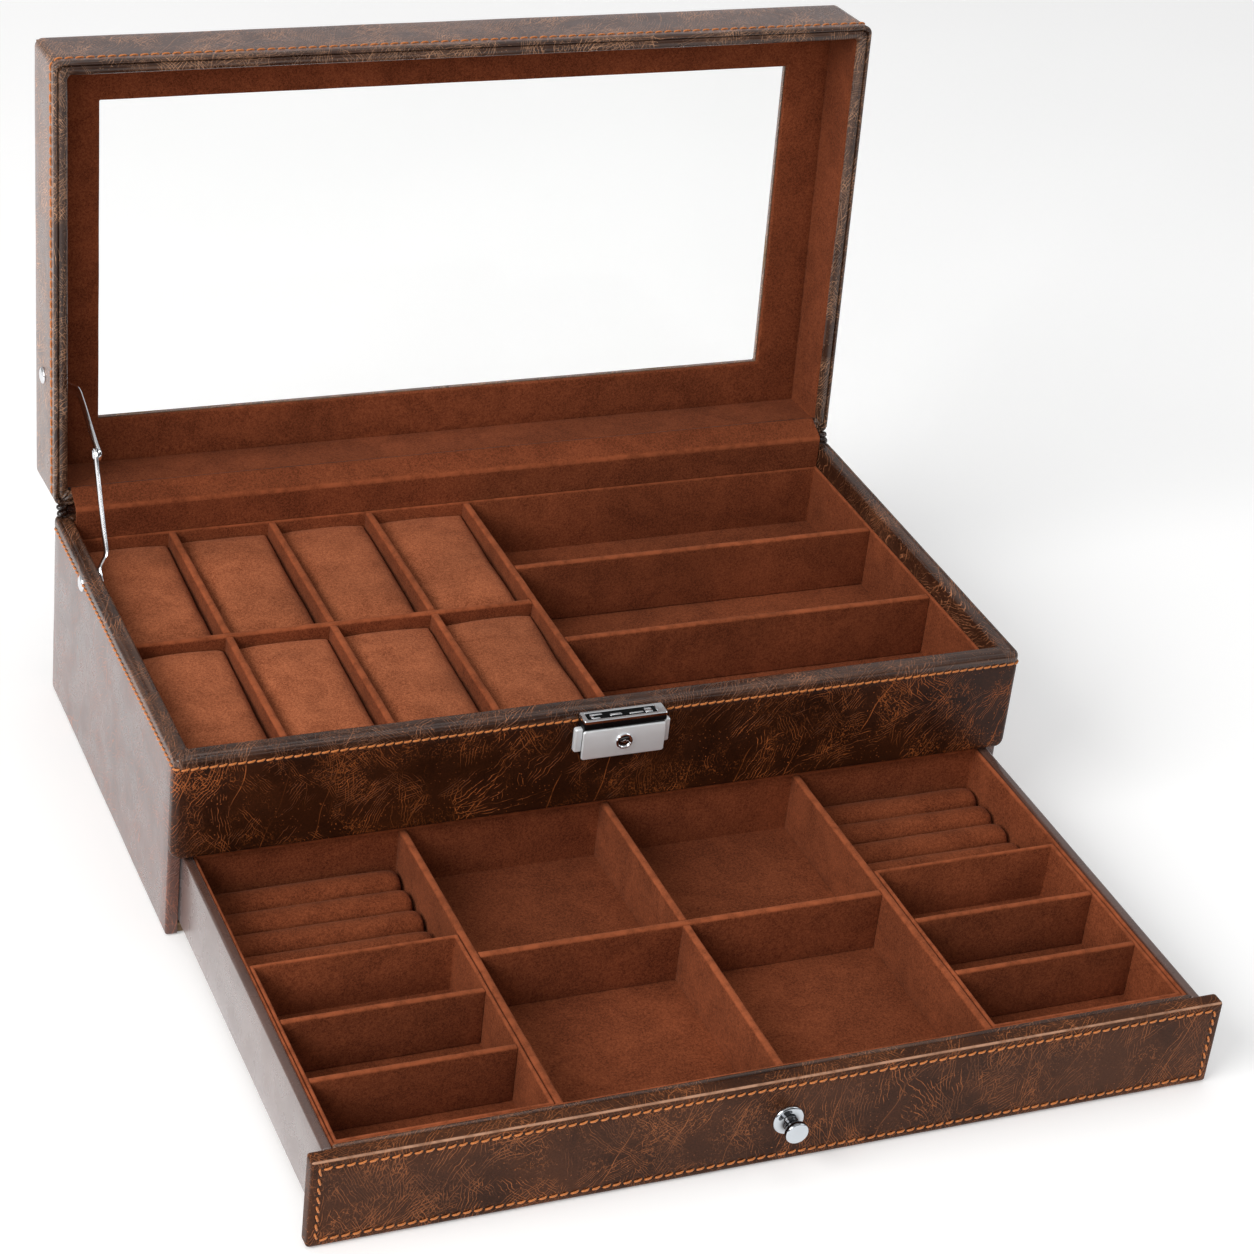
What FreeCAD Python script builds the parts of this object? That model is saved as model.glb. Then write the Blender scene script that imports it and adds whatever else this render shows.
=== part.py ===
import FreeCAD, Part
import math
import os
import re

import Sketcher

# Watch box with a glazed lid, a tray for watches and glasses, and a drawer.
# Frame: +Z up, +X to the right seen from the front, +Y to the back. The origin is
# on the floor under the middle of the case. It is drawn as it stands in use: the lid
# leans back against its stay and the drawer is pulled out.

SIZES = [
    # overall case
    ("half_width", 170.0, "half of the front fascia's width"),
    ("front_face", -91.0, "outer face of the fascia"),
    ("back_face", 91.0, "outer face of the back"),
    ("case_top", 80.0, "top of the padded rim"),
    ("wall_out", 169.6, "outer face of the side leather"),
    ("board_out", 168.7, "outer face of the side boards"),
    ("board_in", 165.3, "inner face of the side boards"),
    ("lining_in", 163.2, "inner face of the rim lining"),
    ("collar_in", 161.9, "inner face of the tray collar"),
    ("board_top", 78.0, "top of the case boards"),
    ("board_front", -85.1, "front end of the side boards"),
    ("fascia_back", -86.0, "back face of the fascia board"),
    ("back_in", 86.5, "inner face of the back board"),
    ("back_out", 90.1, "outer face of the back board"),
    ("skin", 0.9, "thickness of the leather"),
    ("fascia_low", 37.0, "bottom edge of the fascia"),
    ("fascia_round", 3.0, "radius of the fascia's lower corners"),
    # floor and deck
    ("sheet_top", 0.8, "top of the sheet under the case"),
    ("floor_top", 4.6, "top of the bottom board"),
    ("deck_low", 39.0, "underside of the deck"),
    ("deck_top", 43.0, "top of the deck"),
    ("tray_floor_top", 45.0, "top of the tray's suede floor"),
    # tray
    ("tray_top", 71.6, "top of the tray's dividers"),
    ("tray_front", -83.0, "front of the tray's space, at the lining"),
    ("tray_back", 84.0, "back of the tray's space, at the back lining"),
    ("collar_wall", 1.3, "thickness of the tray collar"),
    ("divider", 3.0, "thickness of the tray's dividers"),
    ("main_x", 1.5, "middle of the divider between watches and glasses"),
    ("row_y", 1.5, "middle of the divider between the two rows"),
    ("col_one", -123.6, "middle of the first column divider"),
    ("col_two", -82.2, "middle of the second column divider"),
    ("col_three", -40.9, "middle of the third column divider"),
    ("glass_one", -28.5, "middle of the front glasses divider"),
    ("glass_two", 28.0, "middle of the rear glasses divider"),
    ("pillow_gap", 0.9, "gap round a watch pillow"),
    ("pillow_low", 45.2, "underside of the watch pillows"),
    ("pillow_high", 68.6, "crown of the watch pillows"),
    ("pillow_round", 9.0, "roundness of the pillows' long top edges"),
    # rim
    ("rim_low", 78.0, "underside of the padded rim"),
    ("rim_round", 0.9, "roundness of the padded rim"),
    # lid, closed
    ("axis_y", 92.0, "hinge line"),
    ("axis_z", 82.2, "hinge line"),
    ("lid_open", 94.0, "angle of the open lid"),
    ("lid_half", 169.6, "half of the lid's width"),
    ("lid_edge", 90.6, "half of the lid's depth"),
    ("lid_low", 80.3, "rim of the closed lid"),
    ("lid_rim_top", 82.5, "top of the lid's padded rim"),
    ("lid_top", 113.3, "outer face of the closed lid"),
    ("lid_wall", 3.6, "thickness of the lid's frame"),
    ("lid_rim_wide", 5.4, "width of the lid's padded rim"),
    ("panel_low", 108.3, "inner face of the lid's top board"),
    ("panel_high", 112.4, "outer face of the lid's top board"),
    ("window_x", 146.0, "half of the window's width"),
    ("window_y", 67.0, "half of the window's depth"),
    ("pane_x", 150.0, "half of the pane's width"),
    ("pane_y", 71.0, "half of the pane's depth"),
    ("pane_top", 110.3, "outer face of the pane"),
    ("velvet_low", 106.3, "inner face of the lid's suede frame"),
    ("liner", 1.0, "thickness of the suede on the lid's walls"),
    # hinge
    ("spine_roll", 1.2, "radius of the leather roll on the hinge line"),
    ("spine_half", 165.0, "half of the length of the leather hinge"),
    ("strip_half", 162.8, "half of the length of the suede hinge strip"),
    # stay
    ("stay_low_y", 45.0, "lower pivot"),
    ("stay_low_z", 74.6, "lower pivot"),
    ("stay_up_y", 42.0, "upper pivot on the closed lid"),
    ("stay_up_z", 98.8, "upper pivot on the closed lid"),
    ("stay_mid_y", 70.5, "middle pivot, lid open"),
    ("stay_mid_z", 116.44, "middle pivot, lid open"),
    ("stay_low_len", 49.0, "length of the lower arm"),
    ("stay_up_len", 44.0, "length of the upper arm"),
    ("stay_wide", 5.6, "width of the arms"),
    ("stay_thick", 1.1, "thickness of the arms"),
    ("stay_low_wall", -163.0, "face of the lower arm's end against the wall"),
    ("stay_up_wall", -163.9, "face of the upper arm's end against the wall"),
    ("stay_low_plane", -159.6, "outer face of the lower arm"),
    ("stay_up_plane", -158.3, "outer face of the upper arm"),
    ("rivet", 1.5, "radius of the stay's rivets"),
    ("rivet_head", 3.4, "radius of the rivets' heads"),
    # lock
    ("lock_half", 16.6, "half of the lock's width"),
    ("lock_low", 62.0, "bottom of the lock"),
    ("lock_high", 79.0, "top of the lock"),
    ("lock_deep", 7.0, "how far the lock stands out"),
    ("lock_split", 76.0, "top edge of the lock's face plate"),
    ("lock_face", 1.2, "thickness of the face plate"),
    ("plug_radius", 3.0, "radius of the key plug"),
    ("plug_z", 68.6, "height of the key plug"),
    ("tab_wide", 2.6, "how far a push tab stands out"),
    ("tab_half", 5.0, "half of a push tab's height"),
    ("tab_z", 69.6, "height of the push tabs"),
    # drawer, pushed in
    ("drawer_out", 169.0, "how far the drawer is pulled out"),
    ("drawer_half", 164.4, "outer face of the drawer's sides"),
    ("drawer_side", 3.6, "thickness of the drawer's sides"),
    ("drawer_low", 5.0, "underside of the drawer"),
    ("drawer_high", 35.2, "top of the drawer's sides"),
    ("drawer_floor", 8.0, "top of the drawer's bottom"),
    ("drawer_back", 86.2, "back of the drawer"),
    ("drawer_board", 2.6, "thickness of the drawer's back and inner front"),
    ("front_high", 36.2, "top of the drawer's front"),
    ("front_low", 0.6, "bottom of the drawer's front"),
    ("front_thick", 6.4, "thickness of the drawer's front with its leather"),
    ("suede", 1.4, "thickness of the drawer's suede lining"),
    ("part_top", 34.2, "top of the drawer's dividers"),
    ("column_x", 80.7, "middle of the drawer's long dividers"),
    ("cell_y", 2.5, "middle of the drawer's cross divider"),
    ("tray_end", 15.5, "back of the small compartment trays"),
    ("tray_gap", 0.3, "gap round the small compartment trays"),
    ("ring_high", 20.5, "crown of the ring cushions"),
    ("knob_base", 5.8, "radius of the knob's base"),
    ("knob_head", 4.3, "radius of the knob's head"),
    ("knob_long", 8.4, "length of the knob"),
    ("knob_z", 18.8, "height of the knob"),
]

S = {name: value for name, value, _ in SIZES}

doc = FreeCAD.newDocument("watch_box")
sheet = doc.addObject("Spreadsheet::Sheet", "dims")
sheet.Label = "dims"
for number, (name, value, note) in enumerate(SIZES, start=1):
    sheet.set("A%d" % number, name)
    sheet.set("B%d" % number, repr(value))
    sheet.set("C%d" % number, note)
    sheet.setAlias("B%d" % number, name)
doc.recompute()

NODES = {}


def E(text):
    """An expression in which every size is a cell of the sheet."""
    return re.sub(
        r"[a-z][a-z_]*",
        lambda m: "dims." + m.group(0) if m.group(0) in S else m.group(0),
        str(text),
    )


def V(text):
    """The same expression as a number."""
    return float(worth(str(text)))


def worth(text):
    # sums, differences, products and quotients of sizes and numbers
    tokens = re.findall(r"[a-z][a-z_]*|\d+\.\d+|\d+|[-+*/()]", text)
    pos = [0]

    def peek():
        return tokens[pos[0]] if pos[0] < len(tokens) else None

    def take():
        pos[0] += 1
        return tokens[pos[0] - 1]

    def atom():
        t = take()
        if t == "(":
            v = total()
            take()
            return v
        if t == "-":
            return -atom()
        if t == "+":
            return atom()
        return S[t] if t in S else float(t)

    def product():
        v = atom()
        while peek() in ("*", "/"):
            if take() == "*":
                v *= atom()
            else:
                v /= atom()
        return v

    def total():
        v = product()
        while peek() in ("+", "-"):
            if take() == "+":
                v += product()
            else:
                v -= product()
        return v

    return total()


def box(name, x0, x1, y0, y1, z0, z1):
    b = doc.addObject("Part::Box", name)
    b.Label = name
    for prop, lo, hi in (("Length", x0, x1), ("Width", y0, y1), ("Height", z0, z1)):
        b.setExpression(prop, E("(%s) - (%s)" % (hi, lo)))
    for axis, lo in (("x", x0), ("y", y0), ("z", z0)):
        b.setExpression("Placement.Base." + axis, E(lo))
    return b


def cylinder(name, axis, centre, radius, length):
    """A cylinder that starts at centre and runs along axis ("x", "y" or "z")."""
    c = doc.addObject("Part::Cylinder", name)
    c.Label = name
    turn = {
        "x": FreeCAD.Rotation(FreeCAD.Vector(0, 1, 0), 90),
        "y": FreeCAD.Rotation(FreeCAD.Vector(1, 0, 0), -90),
        "z": FreeCAD.Rotation(),
    }[axis]
    c.Placement = FreeCAD.Placement(FreeCAD.Vector(0, 0, 0), turn)
    c.setExpression("Radius", E(radius))
    c.setExpression("Height", E(length))
    for a, v in zip("xyz", centre):
        c.setExpression("Placement.Base." + a, E(v))
    return c


def cut(name, base, *tools):
    if len(tools) > 1:
        tool = doc.addObject("Part::MultiFuse", name + "_tools")
        tool.Shapes = list(tools)
    else:
        tool = tools[0]
    c = doc.addObject("Part::Cut", name)
    c.Label = name
    c.Base = base
    c.Tool = tool
    return c


def fuse(name, *parts):
    f = doc.addObject("Part::MultiFuse", name)
    f.Label = name
    f.Shapes = list(parts)
    f.Refine = True
    return f


def rounded(name, base, radius, test):
    """Round the edges of base that pass the test."""
    doc.recompute()
    f = doc.addObject("Part::Fillet", name)
    f.Label = name
    f.Base = base
    r = V(radius)
    f.Edges = [(i, r, r) for i, e in enumerate(base.Shape.Edges, start=1) if test(e)]
    return f


def along(e, axis, tol=1e-6):
    if e.Curve.TypeId != "Part::GeomLine" or len(e.Vertexes) != 2:
        return False
    d = e.Vertexes[1].Point - e.Vertexes[0].Point
    d.normalize()
    return abs(abs(getattr(d, axis)) - 1) < tol


def middle(e):
    b = e.BoundBox
    return b.Center


def node(obj, name=None):
    NODES[name or obj.Label] = obj
    return obj


def lid(obj):
    """Turn a piece drawn on the closed lid to the open lid."""
    a = "(-lid_open * 1 deg)"
    obj.Placement = FreeCAD.Placement(
        FreeCAD.Vector(0, 0, 0), FreeCAD.Rotation(FreeCAD.Vector(1, 0, 0), -S["lid_open"])
    )
    obj.setExpression(
        "Placement.Base.y", E("axis_y - axis_y * cos%s + axis_z * sin%s" % (a, a))
    )
    obj.setExpression(
        "Placement.Base.z", E("axis_z - axis_y * sin%s - axis_z * cos%s" % (a, a))
    )
    return obj


def drawer(obj):
    """Pull a piece of the drawer out."""
    obj.setExpression("Placement.Base.y", E("-drawer_out"))
    return obj


PLANES = {"xy": "XY_Plane", "xz": "XZ_Plane", "yz": "YZ_Plane"}


def body(name):
    b = doc.addObject("PartDesign::Body", name)
    b.Label = name
    return b


def plane_of(b, plane):
    for f in b.Origin.OriginFeatures:
        if f.Role == PLANES[plane]:
            return f


def sketch(b, name, plane, offset):
    """A sketch on one of the body's planes, moved by offset in the sketch's own axes."""
    s = b.newObject("Sketcher::SketchObject", name)
    s.AttachmentSupport = (plane_of(b, plane), "")
    s.MapMode = "FlatFace"
    for a, v in zip("xyz", offset):
        s.setExpression("AttachmentOffset.Base." + a, E(v))
    return s


def rectangle(s, width, height, at=None):
    """A rectangle from the sketch's origin, or from at, with sizes from the sheet."""
    w, t = V(width), V(height)
    ax, ay = (V(at[0]), V(at[1])) if at else (0.0, 0.0)
    p = [(ax, ay), (ax + w, ay), (ax + w, ay + t), (ax, ay + t)]
    first = s.GeometryCount
    for i in range(4):
        a, c = p[i], p[(i + 1) % 4]
        s.addGeometry(
            Part.LineSegment(FreeCAD.Vector(a[0], a[1], 0), FreeCAD.Vector(c[0], c[1], 0))
        )
    for i in range(4):
        s.addConstraint(
            Sketcher.Constraint("Coincident", first + i, 2, first + (i + 1) % 4, 1)
        )
    s.addConstraint(Sketcher.Constraint("Horizontal", first))
    s.addConstraint(Sketcher.Constraint("Vertical", first + 1))
    s.addConstraint(Sketcher.Constraint("Horizontal", first + 2))
    s.addConstraint(Sketcher.Constraint("Vertical", first + 3))
    if at:
        for kind, v in (("DistanceX", at[0]), ("DistanceY", at[1])):
            n = s.addConstraint(Sketcher.Constraint(kind, -1, 1, first, 1, V(v)))
            s.setExpression("Constraints[%d]" % n, E(v))
    else:
        s.addConstraint(Sketcher.Constraint("Coincident", first, 1, -1, 1))
    n = s.addConstraint(Sketcher.Constraint("DistanceX", first, 1, first, 2, w))
    s.setExpression("Constraints[%d]" % n, E(width))
    n = s.addConstraint(Sketcher.Constraint("DistanceY", first + 1, 1, first + 1, 2, t))
    s.setExpression("Constraints[%d]" % n, E(height))


def pad(b, s, length, name, back=False):
    p = b.newObject("PartDesign::Pad", name)
    p.Profile = s
    p.setExpression("Length", E(length))
    p.Reversed = back
    s.Visibility = False
    return p


def plate(name, x0, x1, y0, y1, z0, z1, holes=()):
    """A flat board drawn from above, with rectangular holes (x0, x1, y0, y1)."""
    b = body(name)
    s = sketch(b, name + "_outline", "xy", (x0, y0, z0))
    rectangle(s, "(%s) - (%s)" % (x1, x0), "(%s) - (%s)" % (y1, y0))
    for u0, u1, v0, v1 in holes:
        rectangle(
            s,
            "(%s) - (%s)" % (u1, u0),
            "(%s) - (%s)" % (v1, v0),
            at=("(%s) - (%s)" % (u0, x0), "(%s) - (%s)" % (v0, y0)),
        )
    pad(b, s, "(%s) - (%s)" % (z1, z0), name + "_pad")
    return b


def soften(b, name, radius, test):
    """Round edges of a body."""
    doc.recompute()
    tip = b.Tip
    names = ["Edge%d" % i for i, e in enumerate(tip.Shape.Edges, start=1) if test(e)]
    f = b.newObject("PartDesign::Fillet", name)
    f.Base = (tip, names)
    f.setExpression("Radius", E(radius))
    return f


def turned(name, points, plane_offset=(0, 0, 0)):
    """A turned piece: points are (radius, height) pairs; its axis is the body's Y in the
    sketch, so the piece stands on its own axis before it is placed."""
    b = body(name)
    s = sketch(b, name + "_profile", "xy", plane_offset)
    pts = [(V(r), V(hh)) for r, hh in points]
    for i in range(len(pts)):
        a, c = pts[i], pts[(i + 1) % len(pts)]
        s.addGeometry(
            Part.LineSegment(FreeCAD.Vector(a[0], a[1], 0), FreeCAD.Vector(c[0], c[1], 0))
        )
    for i in range(len(pts)):
        s.addConstraint(Sketcher.Constraint("Coincident", i, 2, (i + 1) % len(pts), 1))
    for i, (r, hh) in enumerate(points):
        for kind, v in (("DistanceX", r), ("DistanceY", hh)):
            if abs(V(v)) < 1e-9:
                # on an axis of the sketch
                s.addConstraint(
                    Sketcher.Constraint("PointOnObject", i, 1, -2 if kind == "DistanceX" else -1)
                )
            else:
                n = s.addConstraint(Sketcher.Constraint(kind, -1, 1, i, 1, V(v)))
                s.setExpression("Constraints[%d]" % n, E(v))
    rev = b.newObject("PartDesign::Revolution", name + "_turn")
    rev.Profile = s
    rev.ReferenceAxis = (s, ["V_Axis"])
    rev.Angle = 360
    s.Visibility = False
    return b


# ---------------------------------------------------------------- case: boards

node(box("base_sheet", "-168", "168", "-84", "89", "0", "sheet_top"))
node(box("bottom_board", "-board_in", "board_in", "board_front", "back_in", "sheet_top", "floor_top"))
right = box("side_board_right", "board_in", "board_out", "board_front", "back_in", "sheet_top", "board_top")
node(right)
left_blank = box("side_board_left_blank", "-board_out", "-board_in", "board_front", "back_in", "sheet_top", "board_top")
left_bore = cylinder("side_board_left_bore", "x", ("-board_out - 1", "stay_low_y", "stay_low_z"), "rivet", "10")
node(cut("side_board_left", left_blank, left_bore))
node(box("back_board", "-board_out", "board_out", "back_in", "back_out", "sheet_top", "board_top"))

fascia = body("fascia_board")
s = sketch(fascia, "fascia_outline", "xz", ("-(half_width - skin)", "fascia_low + skin", "-fascia_back"))
rectangle(s, "2 * (half_width - skin)", "board_top - fascia_low - skin")
pad(fascia, s, "fascia_back - front_face - skin", "fascia_pad")
soften(fascia, "fascia_corners", "fascia_round - skin", lambda e: along(e, "y") and middle(e).z < 40)
node(fascia)

node(box("deck_board", "-board_in", "board_in", "fascia_back", "back_in", "deck_low", "deck_top"))

# ---------------------------------------------------------------- case: leather

wrap_out = box("case_cover_out", "-wall_out", "wall_out", "fascia_back", "back_face", "0.4", "board_top")
wrap_in = box("case_cover_in", "-board_out", "board_out", "board_front", "back_out", "0", "case_top + 3")
wrap_open = box("case_cover_open", "-board_in", "board_in", "fascia_back - 5", "board_front + 5", "0", "case_top + 3")
wrap_bore = cylinder("case_cover_bore", "x", ("-wall_out - 1", "stay_low_y", "stay_low_z"), "rivet", "10")
node(cut("case_cover", wrap_out, wrap_in, wrap_open, wrap_bore))

front_skin = body("fascia_cover_blank")
s = sketch(front_skin, "fascia_cover_outline", "xz", ("-half_width", "fascia_low", "-fascia_back"))
rectangle(s, "2 * half_width", "board_top - fascia_low")
pad(front_skin, s, "fascia_back - front_face", "fascia_cover_pad")
soften(front_skin, "fascia_cover_corners", "fascia_round", lambda e: along(e, "y") and middle(e).z < 40)
skin_tool = body("fascia_cover_inside")
s = sketch(skin_tool, "fascia_inside_outline", "xz", ("-(half_width - skin)", "fascia_low + skin", "-fascia_back - 1"))
rectangle(s, "2 * (half_width - skin)", "board_top - fascia_low - skin + 5")
pad(skin_tool, s, "fascia_back - front_face - skin + 1", "fascia_inside_pad")
soften(skin_tool, "fascia_inside_corners", "fascia_round - skin", lambda e: along(e, "y") and middle(e).z < 40)
node(cut("fascia_cover", front_skin, skin_tool))

rim = plate(
    "rim_cover", "-half_width", "half_width", "front_face", "back_face", "rim_low", "case_top",
    holes=[("-lining_in", "lining_in", "tray_front", "back_in")],
)
soften(rim, "rim_corners", "1.6", lambda e: along(e, "z") and abs(middle(e).x) > S["half_width"] - 1)
soften(
    rim, "rim_rounding", "rim_round",
    lambda e: abs(middle(e).z - S["case_top"]) < 1e-4,
)
node(rim)

lining_out = box("rim_lining_out", "-board_in", "board_in", "fascia_back", "back_in", "deck_top", "rim_low")
lining_hole = box("rim_lining_hole", "-lining_in", "lining_in", "tray_front", "back_in + 5", "deck_top - 1", "rim_low + 1")
lining_bore = cylinder("rim_lining_bore", "x", ("-board_in - 1", "stay_low_y", "stay_low_z"), "rivet", "5")
node(cut("rim_lining", lining_out, lining_hole, lining_bore))

node(box("back_lining", "-lining_in", "lining_in", "tray_back", "back_in", "deck_top", "rim_low + 1"))

# ---------------------------------------------------------------- case: tray

node(box("tray_floor", "-lining_in", "lining_in", "tray_front", "tray_back", "deck_top", "tray_floor_top"))
node(
    plate(
        "tray_collar", "-lining_in", "lining_in", "tray_front", "tray_back", "tray_floor_top", "tray_top",
        holes=[("-collar_in", "collar_in", "tray_front + collar_wall", "tray_back - collar_wall")],
    )
)
tf = "tray_front + collar_wall"
tb = "tray_back - collar_wall"
node(box("main_divider", "main_x - divider / 2", "main_x + divider / 2", tf, tb, "tray_floor_top", "tray_top"))

# the row divider is slotted from below where the column dividers cross it
row_blank = box("row_divider_blank", "-collar_in", "main_x - divider / 2", "row_y - divider / 2", "row_y + divider / 2", "tray_floor_top", "tray_top")
row_slots = [
    box("row_slot_%d" % i, "%s - divider / 2" % c, "%s + divider / 2" % c, "row_y - divider", "row_y + divider", "tray_floor_top - 1", "(tray_floor_top + tray_top) / 2")
    for i, c in enumerate(("col_one", "col_two", "col_three"), start=1)
]
node(cut("row_divider", row_blank, *row_slots))
cols = []
for i, c in enumerate(("col_one", "col_two", "col_three"), start=1):
    blank = box("column_%d_blank" % i, "%s - divider / 2" % c, "%s + divider / 2" % c, tf, tb, "tray_floor_top", "tray_top")
    slot = box("column_%d_slot" % i, "%s - divider" % c, "%s + divider" % c, "row_y - divider / 2", "row_y + divider / 2", "(tray_floor_top + tray_top) / 2", "tray_top + 1")
    cols.append(cut("column_%d" % i, blank, slot))
col_group = doc.addObject("Part::Compound", "column_dividers")
col_group.Label = "column_dividers"
col_group.Links = cols
node(col_group)

glasses = []
for i, c in enumerate(("glass_one", "glass_two"), start=1):
    glasses.append(box("glasses_%d" % i, "main_x + divider / 2", "collar_in", "%s - divider / 2" % c, "%s + divider / 2" % c, "tray_floor_top", "tray_top"))
glass_group = doc.addObject("Part::Compound", "glasses_dividers")
glass_group.Label = "glasses_dividers"
glass_group.Links = glasses
node(glass_group)

edges = ["-collar_in", "col_one", "col_two", "col_three", "main_x"]
group = []
for row, (y0, y1) in (
    ("front", (tf, "row_y - divider / 2")),
    ("rear", ("row_y + divider / 2", tb)),
):
    for i in range(4):
        lo = edges[i] if i == 0 else edges[i] + " + divider / 2"
        hi = edges[i + 1] + " - divider / 2"
        p = plate(
            "pillow_%s_%d" % (row, i + 1),
            "(%s) + pillow_gap" % lo, "(%s) - pillow_gap" % hi,
            "(%s) + pillow_gap" % y0, "(%s) - pillow_gap" % y1,
            "pillow_low", "pillow_high",
        )
        soften(
            p, "pillow_%s_%d_crown" % (row, i + 1), "pillow_round",
            lambda e: along(e, "x") and middle(e).z > S["pillow_high"] - 1,
        )
        group.append(p)
g = doc.addObject("Part::Compound", "watch_pillows")
g.Label = "watch_pillows"
g.Links = group
node(g)

# ---------------------------------------------------------------- hinge

roll = cylinder("hinge_roll", "x", ("-spine_half", "axis_y", "axis_z"), "spine_roll", "2 * spine_half")
flange = box("hinge_flange", "-spine_half", "spine_half", "back_face", "back_face + 0.7", "axis_z - 21", "axis_z - 0.6")
node(fuse("hinge_spine", roll, flange))
node(box("hinge_strip_case", "-strip_half", "strip_half", "tray_back - 1", "tray_back", "tray_top + 0.2", "rim_low + 1"))
node(lid(fuse(
    "hinge_strip_lid",
    box("hinge_strip_lid_wall", "-strip_half", "strip_half", "lid_edge - skin - lid_wall - liner - 1", "lid_edge - skin - lid_wall - liner", "lid_rim_top", "lid_rim_top + 7"),
    box("hinge_strip_lid_edge", "-strip_half", "strip_half", "lid_edge - skin - lid_wall - liner - 1", "lid_edge - skin - lid_wall - liner - 0.4", "lid_rim_top - 0.6", "lid_rim_top + 1"),
)))

# ---------------------------------------------------------------- lid, drawn closed

fo = "(lid_half - skin)"
fe = "(lid_edge - skin)"
low, high = "lid_rim_top", "panel_high"
stay_bore = lambda name: cylinder(name, "x", ("-lid_half - 1", "stay_up_y", "stay_up_z"), "rivet", "8")
frame_parts = [
    box("lid_frame_front", "-%s" % fo, fo, "-%s" % fe, "-%s + lid_wall" % fe, low, high),
    box("lid_frame_back", "-%s" % fo, fo, "%s - lid_wall" % fe, fe, low, high),
    cut(
        "lid_frame_left",
        box("lid_frame_left_blank", "-%s" % fo, "-%s + lid_wall" % fo, "-%s + lid_wall" % fe, "%s - lid_wall" % fe, low, high),
        stay_bore("lid_frame_bore"),
    ),
    box("lid_frame_right", "%s - lid_wall" % fo, fo, "-%s + lid_wall" % fe, "%s - lid_wall" % fe, low, high),
]
lf = doc.addObject("Part::Compound", "lid_frame")
lf.Label = "lid_frame"
lf.Links = frame_parts
node(lid(lf))

px, py = "(lid_half - skin - lid_wall)", "(lid_edge - skin - lid_wall)"
panel = plate(
    "lid_top_panel", "-%s" % px, px, "-%s" % py, py, "panel_low", "panel_high",
    holes=[("-window_x", "window_x", "-window_y", "window_y")],
)
rebate_sketch = sketch(panel, "rebate_outline", "xy", ("-pane_x - 0.3", "-pane_y - 0.3", "panel_low"))
rectangle(rebate_sketch, "2 * (pane_x + 0.3)", "2 * (pane_y + 0.3)")
doc.recompute()
volume_before = panel.Shape.Volume
rebate = panel.newObject("PartDesign::Pocket", "rebate")
rebate.Profile = rebate_sketch
rebate.setExpression("Length", E("pane_top - panel_low"))
rebate.Reversed = True
doc.recompute()
if panel.Shape.Volume > volume_before - 100:
    raise SystemExit("the rebate cuts nothing")
node(lid(panel))

cover_out = box("lid_cover_out", "-lid_half", "lid_half", "-lid_edge", "lid_edge", "lid_rim_top", "lid_top")
cover_soft = rounded("lid_cover_soft", cover_out, "1.5", lambda e: along(e, "z") or middle(e).z > S["lid_top"] - 1e-3)
cover_in = box("lid_cover_in", "-%s" % fo, fo, "-%s" % fe, fe, "lid_rim_top - 1", "panel_high")
cover_window = box("lid_cover_window", "-window_x", "window_x", "-window_y", "window_y", "panel_low", "lid_top + 1")
node(lid(cut("lid_cover", cover_soft, cover_in, cover_window, stay_bore("lid_cover_bore"))))

lid_rim = plate(
    "lid_rim", "-lid_half", "lid_half", "-lid_edge", "lid_edge", "lid_low", "lid_rim_top",
    holes=[("-lid_half + lid_rim_wide", "lid_half - lid_rim_wide", "-lid_edge + lid_rim_wide", "lid_edge - lid_rim_wide")],
)
soften(lid_rim, "lid_rim_corners", "1.5", lambda e: along(e, "z") and abs(middle(e).x) > S["lid_half"] - 1)
soften(lid_rim, "lid_rim_rounding", "rim_round", lambda e: abs(middle(e).z - S["lid_low"]) < 1e-4)
node(lid(lid_rim))

node(lid(plate("lid_glass", "-pane_x", "pane_x", "-pane_y", "pane_y", "panel_low", "pane_top")))

velvet = plate(
    "lid_velvet_frame",
    "-%s + liner" % px, "%s - liner" % px, "-%s + liner" % py, "%s - liner" % py, "velvet_low", "panel_low",
    holes=[("-window_x + 0.4", "window_x - 0.4", "-window_y + 0.4", "window_y - 0.4")],
)
node(lid(velvet))

lining = doc.addObject("Part::Compound", "lid_lining")
lining.Label = "lid_lining"
lining.Links = [
    box("lid_lining_front", "-%s" % px, px, "-%s" % py, "-%s + liner" % py, low, "panel_low"),
    box("lid_lining_back", "-%s" % px, px, "%s - liner" % py, py, low, "panel_low"),
    cut(
        "lid_lining_left",
        box("lid_lining_left_blank", "-%s" % px, "-%s + liner" % px, "-%s + liner" % py, "%s - liner" % py, low, "panel_low"),
        stay_bore("lid_lining_bore"),
    ),
    box("lid_lining_right", "%s - liner" % px, px, "-%s + liner" % py, "%s - liner" % py, low, "panel_low"),
]
node(lid(lining))

# ---------------------------------------------------------------- stay

# Each arm is drawn along its own Y from the pivot at the wall, then turned about X.
# Its end against the wall is stepped sideways, so that the long strip stands off the wall.


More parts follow.
